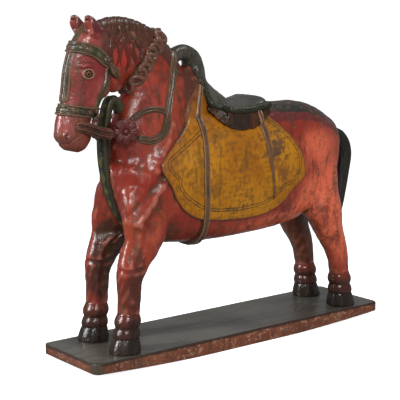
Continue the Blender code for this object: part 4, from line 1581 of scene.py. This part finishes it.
dent = sum(np.sin(board_co[:, 0] * rng.uniform(-160, 160) + board_co[:, 1] * rng.uniform(-60, 60)
                  + rng.uniform(0, 6)) for _ in range(9)) / 3
on_top = np.clip((board_co[:, 2] - BOARD_THICK + TOP_SKIN) / TOP_SKIN, 0, 1)
board_co[:, 2] -= np.clip(dent, 0, None) * DENT_DEEP * on_top
set_points(board, board_co)
store(board, "hollow", np.zeros(len(board_co)))
print("plank points:", len(board_co))


def plank_paint():
    """A dark polished top with a painted sheen, a worn red edge and the dark line between them."""
    pot = PaintPot("plank paint")
    cloud = pot.noise(9.0, 4.0).between(0.35, 0.7)
    grain = pot.noise(40.0, 5.0, stretch=(1.0, 0.08, 1.0), roughness=0.6)
    fleck = pot.noise(160.0, 3.0)
    chips = pot.noise(70.0, 4.0, stretch=(1.0, 0.5, 1.4), roughness=0.7)
    edge = pot.field("edge")
    dark_corner = (pot.field("corner") + (chips - 0.5) * 1.1).between(0.20, 0.95)
    saw = pot.noise(150.0, 3.0, stretch=(1.0, 1.0, 0.08), roughness=0.6)
    # the top's own dark grey, painted lighter as a painted sheen
    colour = pot.mix(cloud, linear(80, 77, 70), linear(98, 95, 88))
    colour = pot.mix(grain.between(0.5, 0.75) * 0.5, colour, linear(46, 40, 33))
    side = 1.0 - (edge + (chips - 0.5) * 0.006).between(0.0004, 0.0022)
    red = pot.mix(cloud, linear(96, 54, 38), linear(122, 70, 48))
    red = pot.mix(saw.between(0.48, 0.62) * 0.6, red, linear(72, 46, 34))
    red = pot.mix((fleck * 0.5 + chips * 0.5).between(0.52, 0.60) * 0.7, red, linear(170, 124, 100))
    red = pot.mix(chips.between(0.58, 0.66) * 0.6, red, linear(62, 56, 36))
    colour = pot.mix(side, colour, red)
    near_edge = 1.0 - (edge + (chips - 0.5) * 0.004).between(0.0020, 0.0045)
    lip = near_edge * (1.0 - (pot.field("lip") + (chips - 0.5) * 0.008).between(0.0040, 0.0070))
    colour = pot.mix(lip * 0.9, colour, linear(40, 30, 22))
    stain = pot.field("stain") * chips.between(0.36, 0.56)
    colour = pot.mix(stain * 0.8, colour, linear(52, 42, 30))
    colour = pot.mix(dark_corner * 0.85, colour, linear(64, 58, 46))
    rough = 0.30 + side * 0.25 + (grain - 0.5) * 0.3
    return pot.finish(colour, rough, grain * 0.5 + fleck * 0.3 + chips * side * 0.8)


plank_coat = plank_paint()
board.data.materials.append(plank_coat)
pick(board)
bpy.ops.object.shade_smooth_by_angle(angle=SHARP_FROM)
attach(board, "root")
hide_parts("board")

# %% [markdown]
# ## Floor
# The floor is a sheet of pale paper that runs to the horizon. It glows a little, as a lit paper
# sweep does, so the picture's ground stays as white as in the photograph.

# %% Floor
FLOOR_GLOW = 0.85
floor_pot = PaintPot("pale floor")
floor.data.materials.append(floor_pot.finish(linear(244, 244, 243), 0.8, floor_pot.noise(4.0)))
floor_pot.shader.inputs["Emission Color"].default_value = (1.0, 1.0, 1.0, 1.0)
floor_pot.shader.inputs["Emission Strength"].default_value = FLOOR_GLOW
print("floor glows at", FLOOR_GLOW)

# %% [markdown]
# ## Painting and placing the pieces
# The cloth has a paint of its own, ochre with the weave of the cloth in its wear. Then the
# remaining pieces get their hollows, and each piece gets its paint, rides on the one body and
# stands for the carved node.

# %% Paint and place
def cloth_paint():
    """Ochre with stains and the double line of the border, darker in the grooves."""
    pot = PaintPot("cloth ochre")
    cloud = pot.noise(8.0, 4.0).between(0.38, 0.64)
    streak = pot.noise(30.0, 5.0, stretch=(1.0, 1.0, 0.22), roughness=0.65)
    weave = pot.noise(150.0, 3.0, stretch=(1.0, 1.0, 0.4)) * 0.5 + pot.noise(
        130.0, 3.0, stretch=(1.0, 0.3, 1.0)) * 0.5
    stain = pot.noise(17.0, 5.0, roughness=0.7)
    border, edge, hollow = pot.field("border"), pot.field("edge"), pot.field("hollow")
    colour = pot.mix(cloud, linear(142, 84, 4), linear(168, 110, 8))
    colour = pot.mix(weave.between(0.47, 0.60) * 0.55, colour, linear(92, 58, 20))
    colour = pot.mix(stain.between(0.54, 0.68) * 0.75, colour, linear(96, 56, 30))
    colour = pot.mix(streak.between(0.52, 0.66) * 0.6, colour, linear(84, 60, 26))
    old_stain = pot.field("old stain") + (weave - 0.5) * 2.4 + (stain - 0.5) * 1.6
    colour = pot.mix(old_stain.between(0.5, 1.1) * 0.75, colour, linear(72, 54, 44))
    line = border.between(0.0022, 0.0034) * (1.0 - border.between(0.0048, 0.0062))
    colour = pot.mix(line * 0.75, colour, linear(64, 50, 32))
    rim = 1.0 - (edge + (stain - 0.5) * 0.008).between(0.001, 0.007)
    colour = pot.mix(rim * 0.75, colour, linear(110, 62, 34))
    colour = pot.mix(hollow.between(0.1, 0.9) * 0.9, colour, linear(46, 34, 22))
    rough = 0.27 + (stain - 0.5) * 0.3 + (weave - 0.5) * 0.2
    return pot.finish(colour, rough, weave * 0.5 + streak * 0.6)


ochre = cloth_paint()
find_hollows(cloth)
cloth_right = mirrored(cloth, "saddle_cloth_right")
for piece in (chain, rim, rosette, locks, chest_strap):
    find_hollows(piece, reach=0.0030)
for piece in (rein_bars, reins, bridle, face_strap):
    find_hollows(piece, reach=0.0017)
paints = [
    (body, red_lacquer), (head, crimson), (feet, hoof_paint), (tail, tail_paint),
    (saddle, saddle_paint), (cloth, ochre), (cloth_right, ochre), (eyes, eye_paint),
    (mane, mane_paint), (locks, lock_paint), (chain, chain_paint), (rosette, rosette_paint),
    (rein_bars, chain_paint), (strap_tops, girth_paint),
    (reins, harness_paint), (chest_strap, chest_strap_paint), (face_strap, harness_paint),
    (rim, chest_strap_paint), (bridle, harness_paint),
    *((piece, girth_paint if piece.name.startswith(("girth", "rear")) else harness_paint)
      for piece in straps),
]
for piece, paint in paints:
    finished(piece, paint)
print("painted pieces:", len(paints))
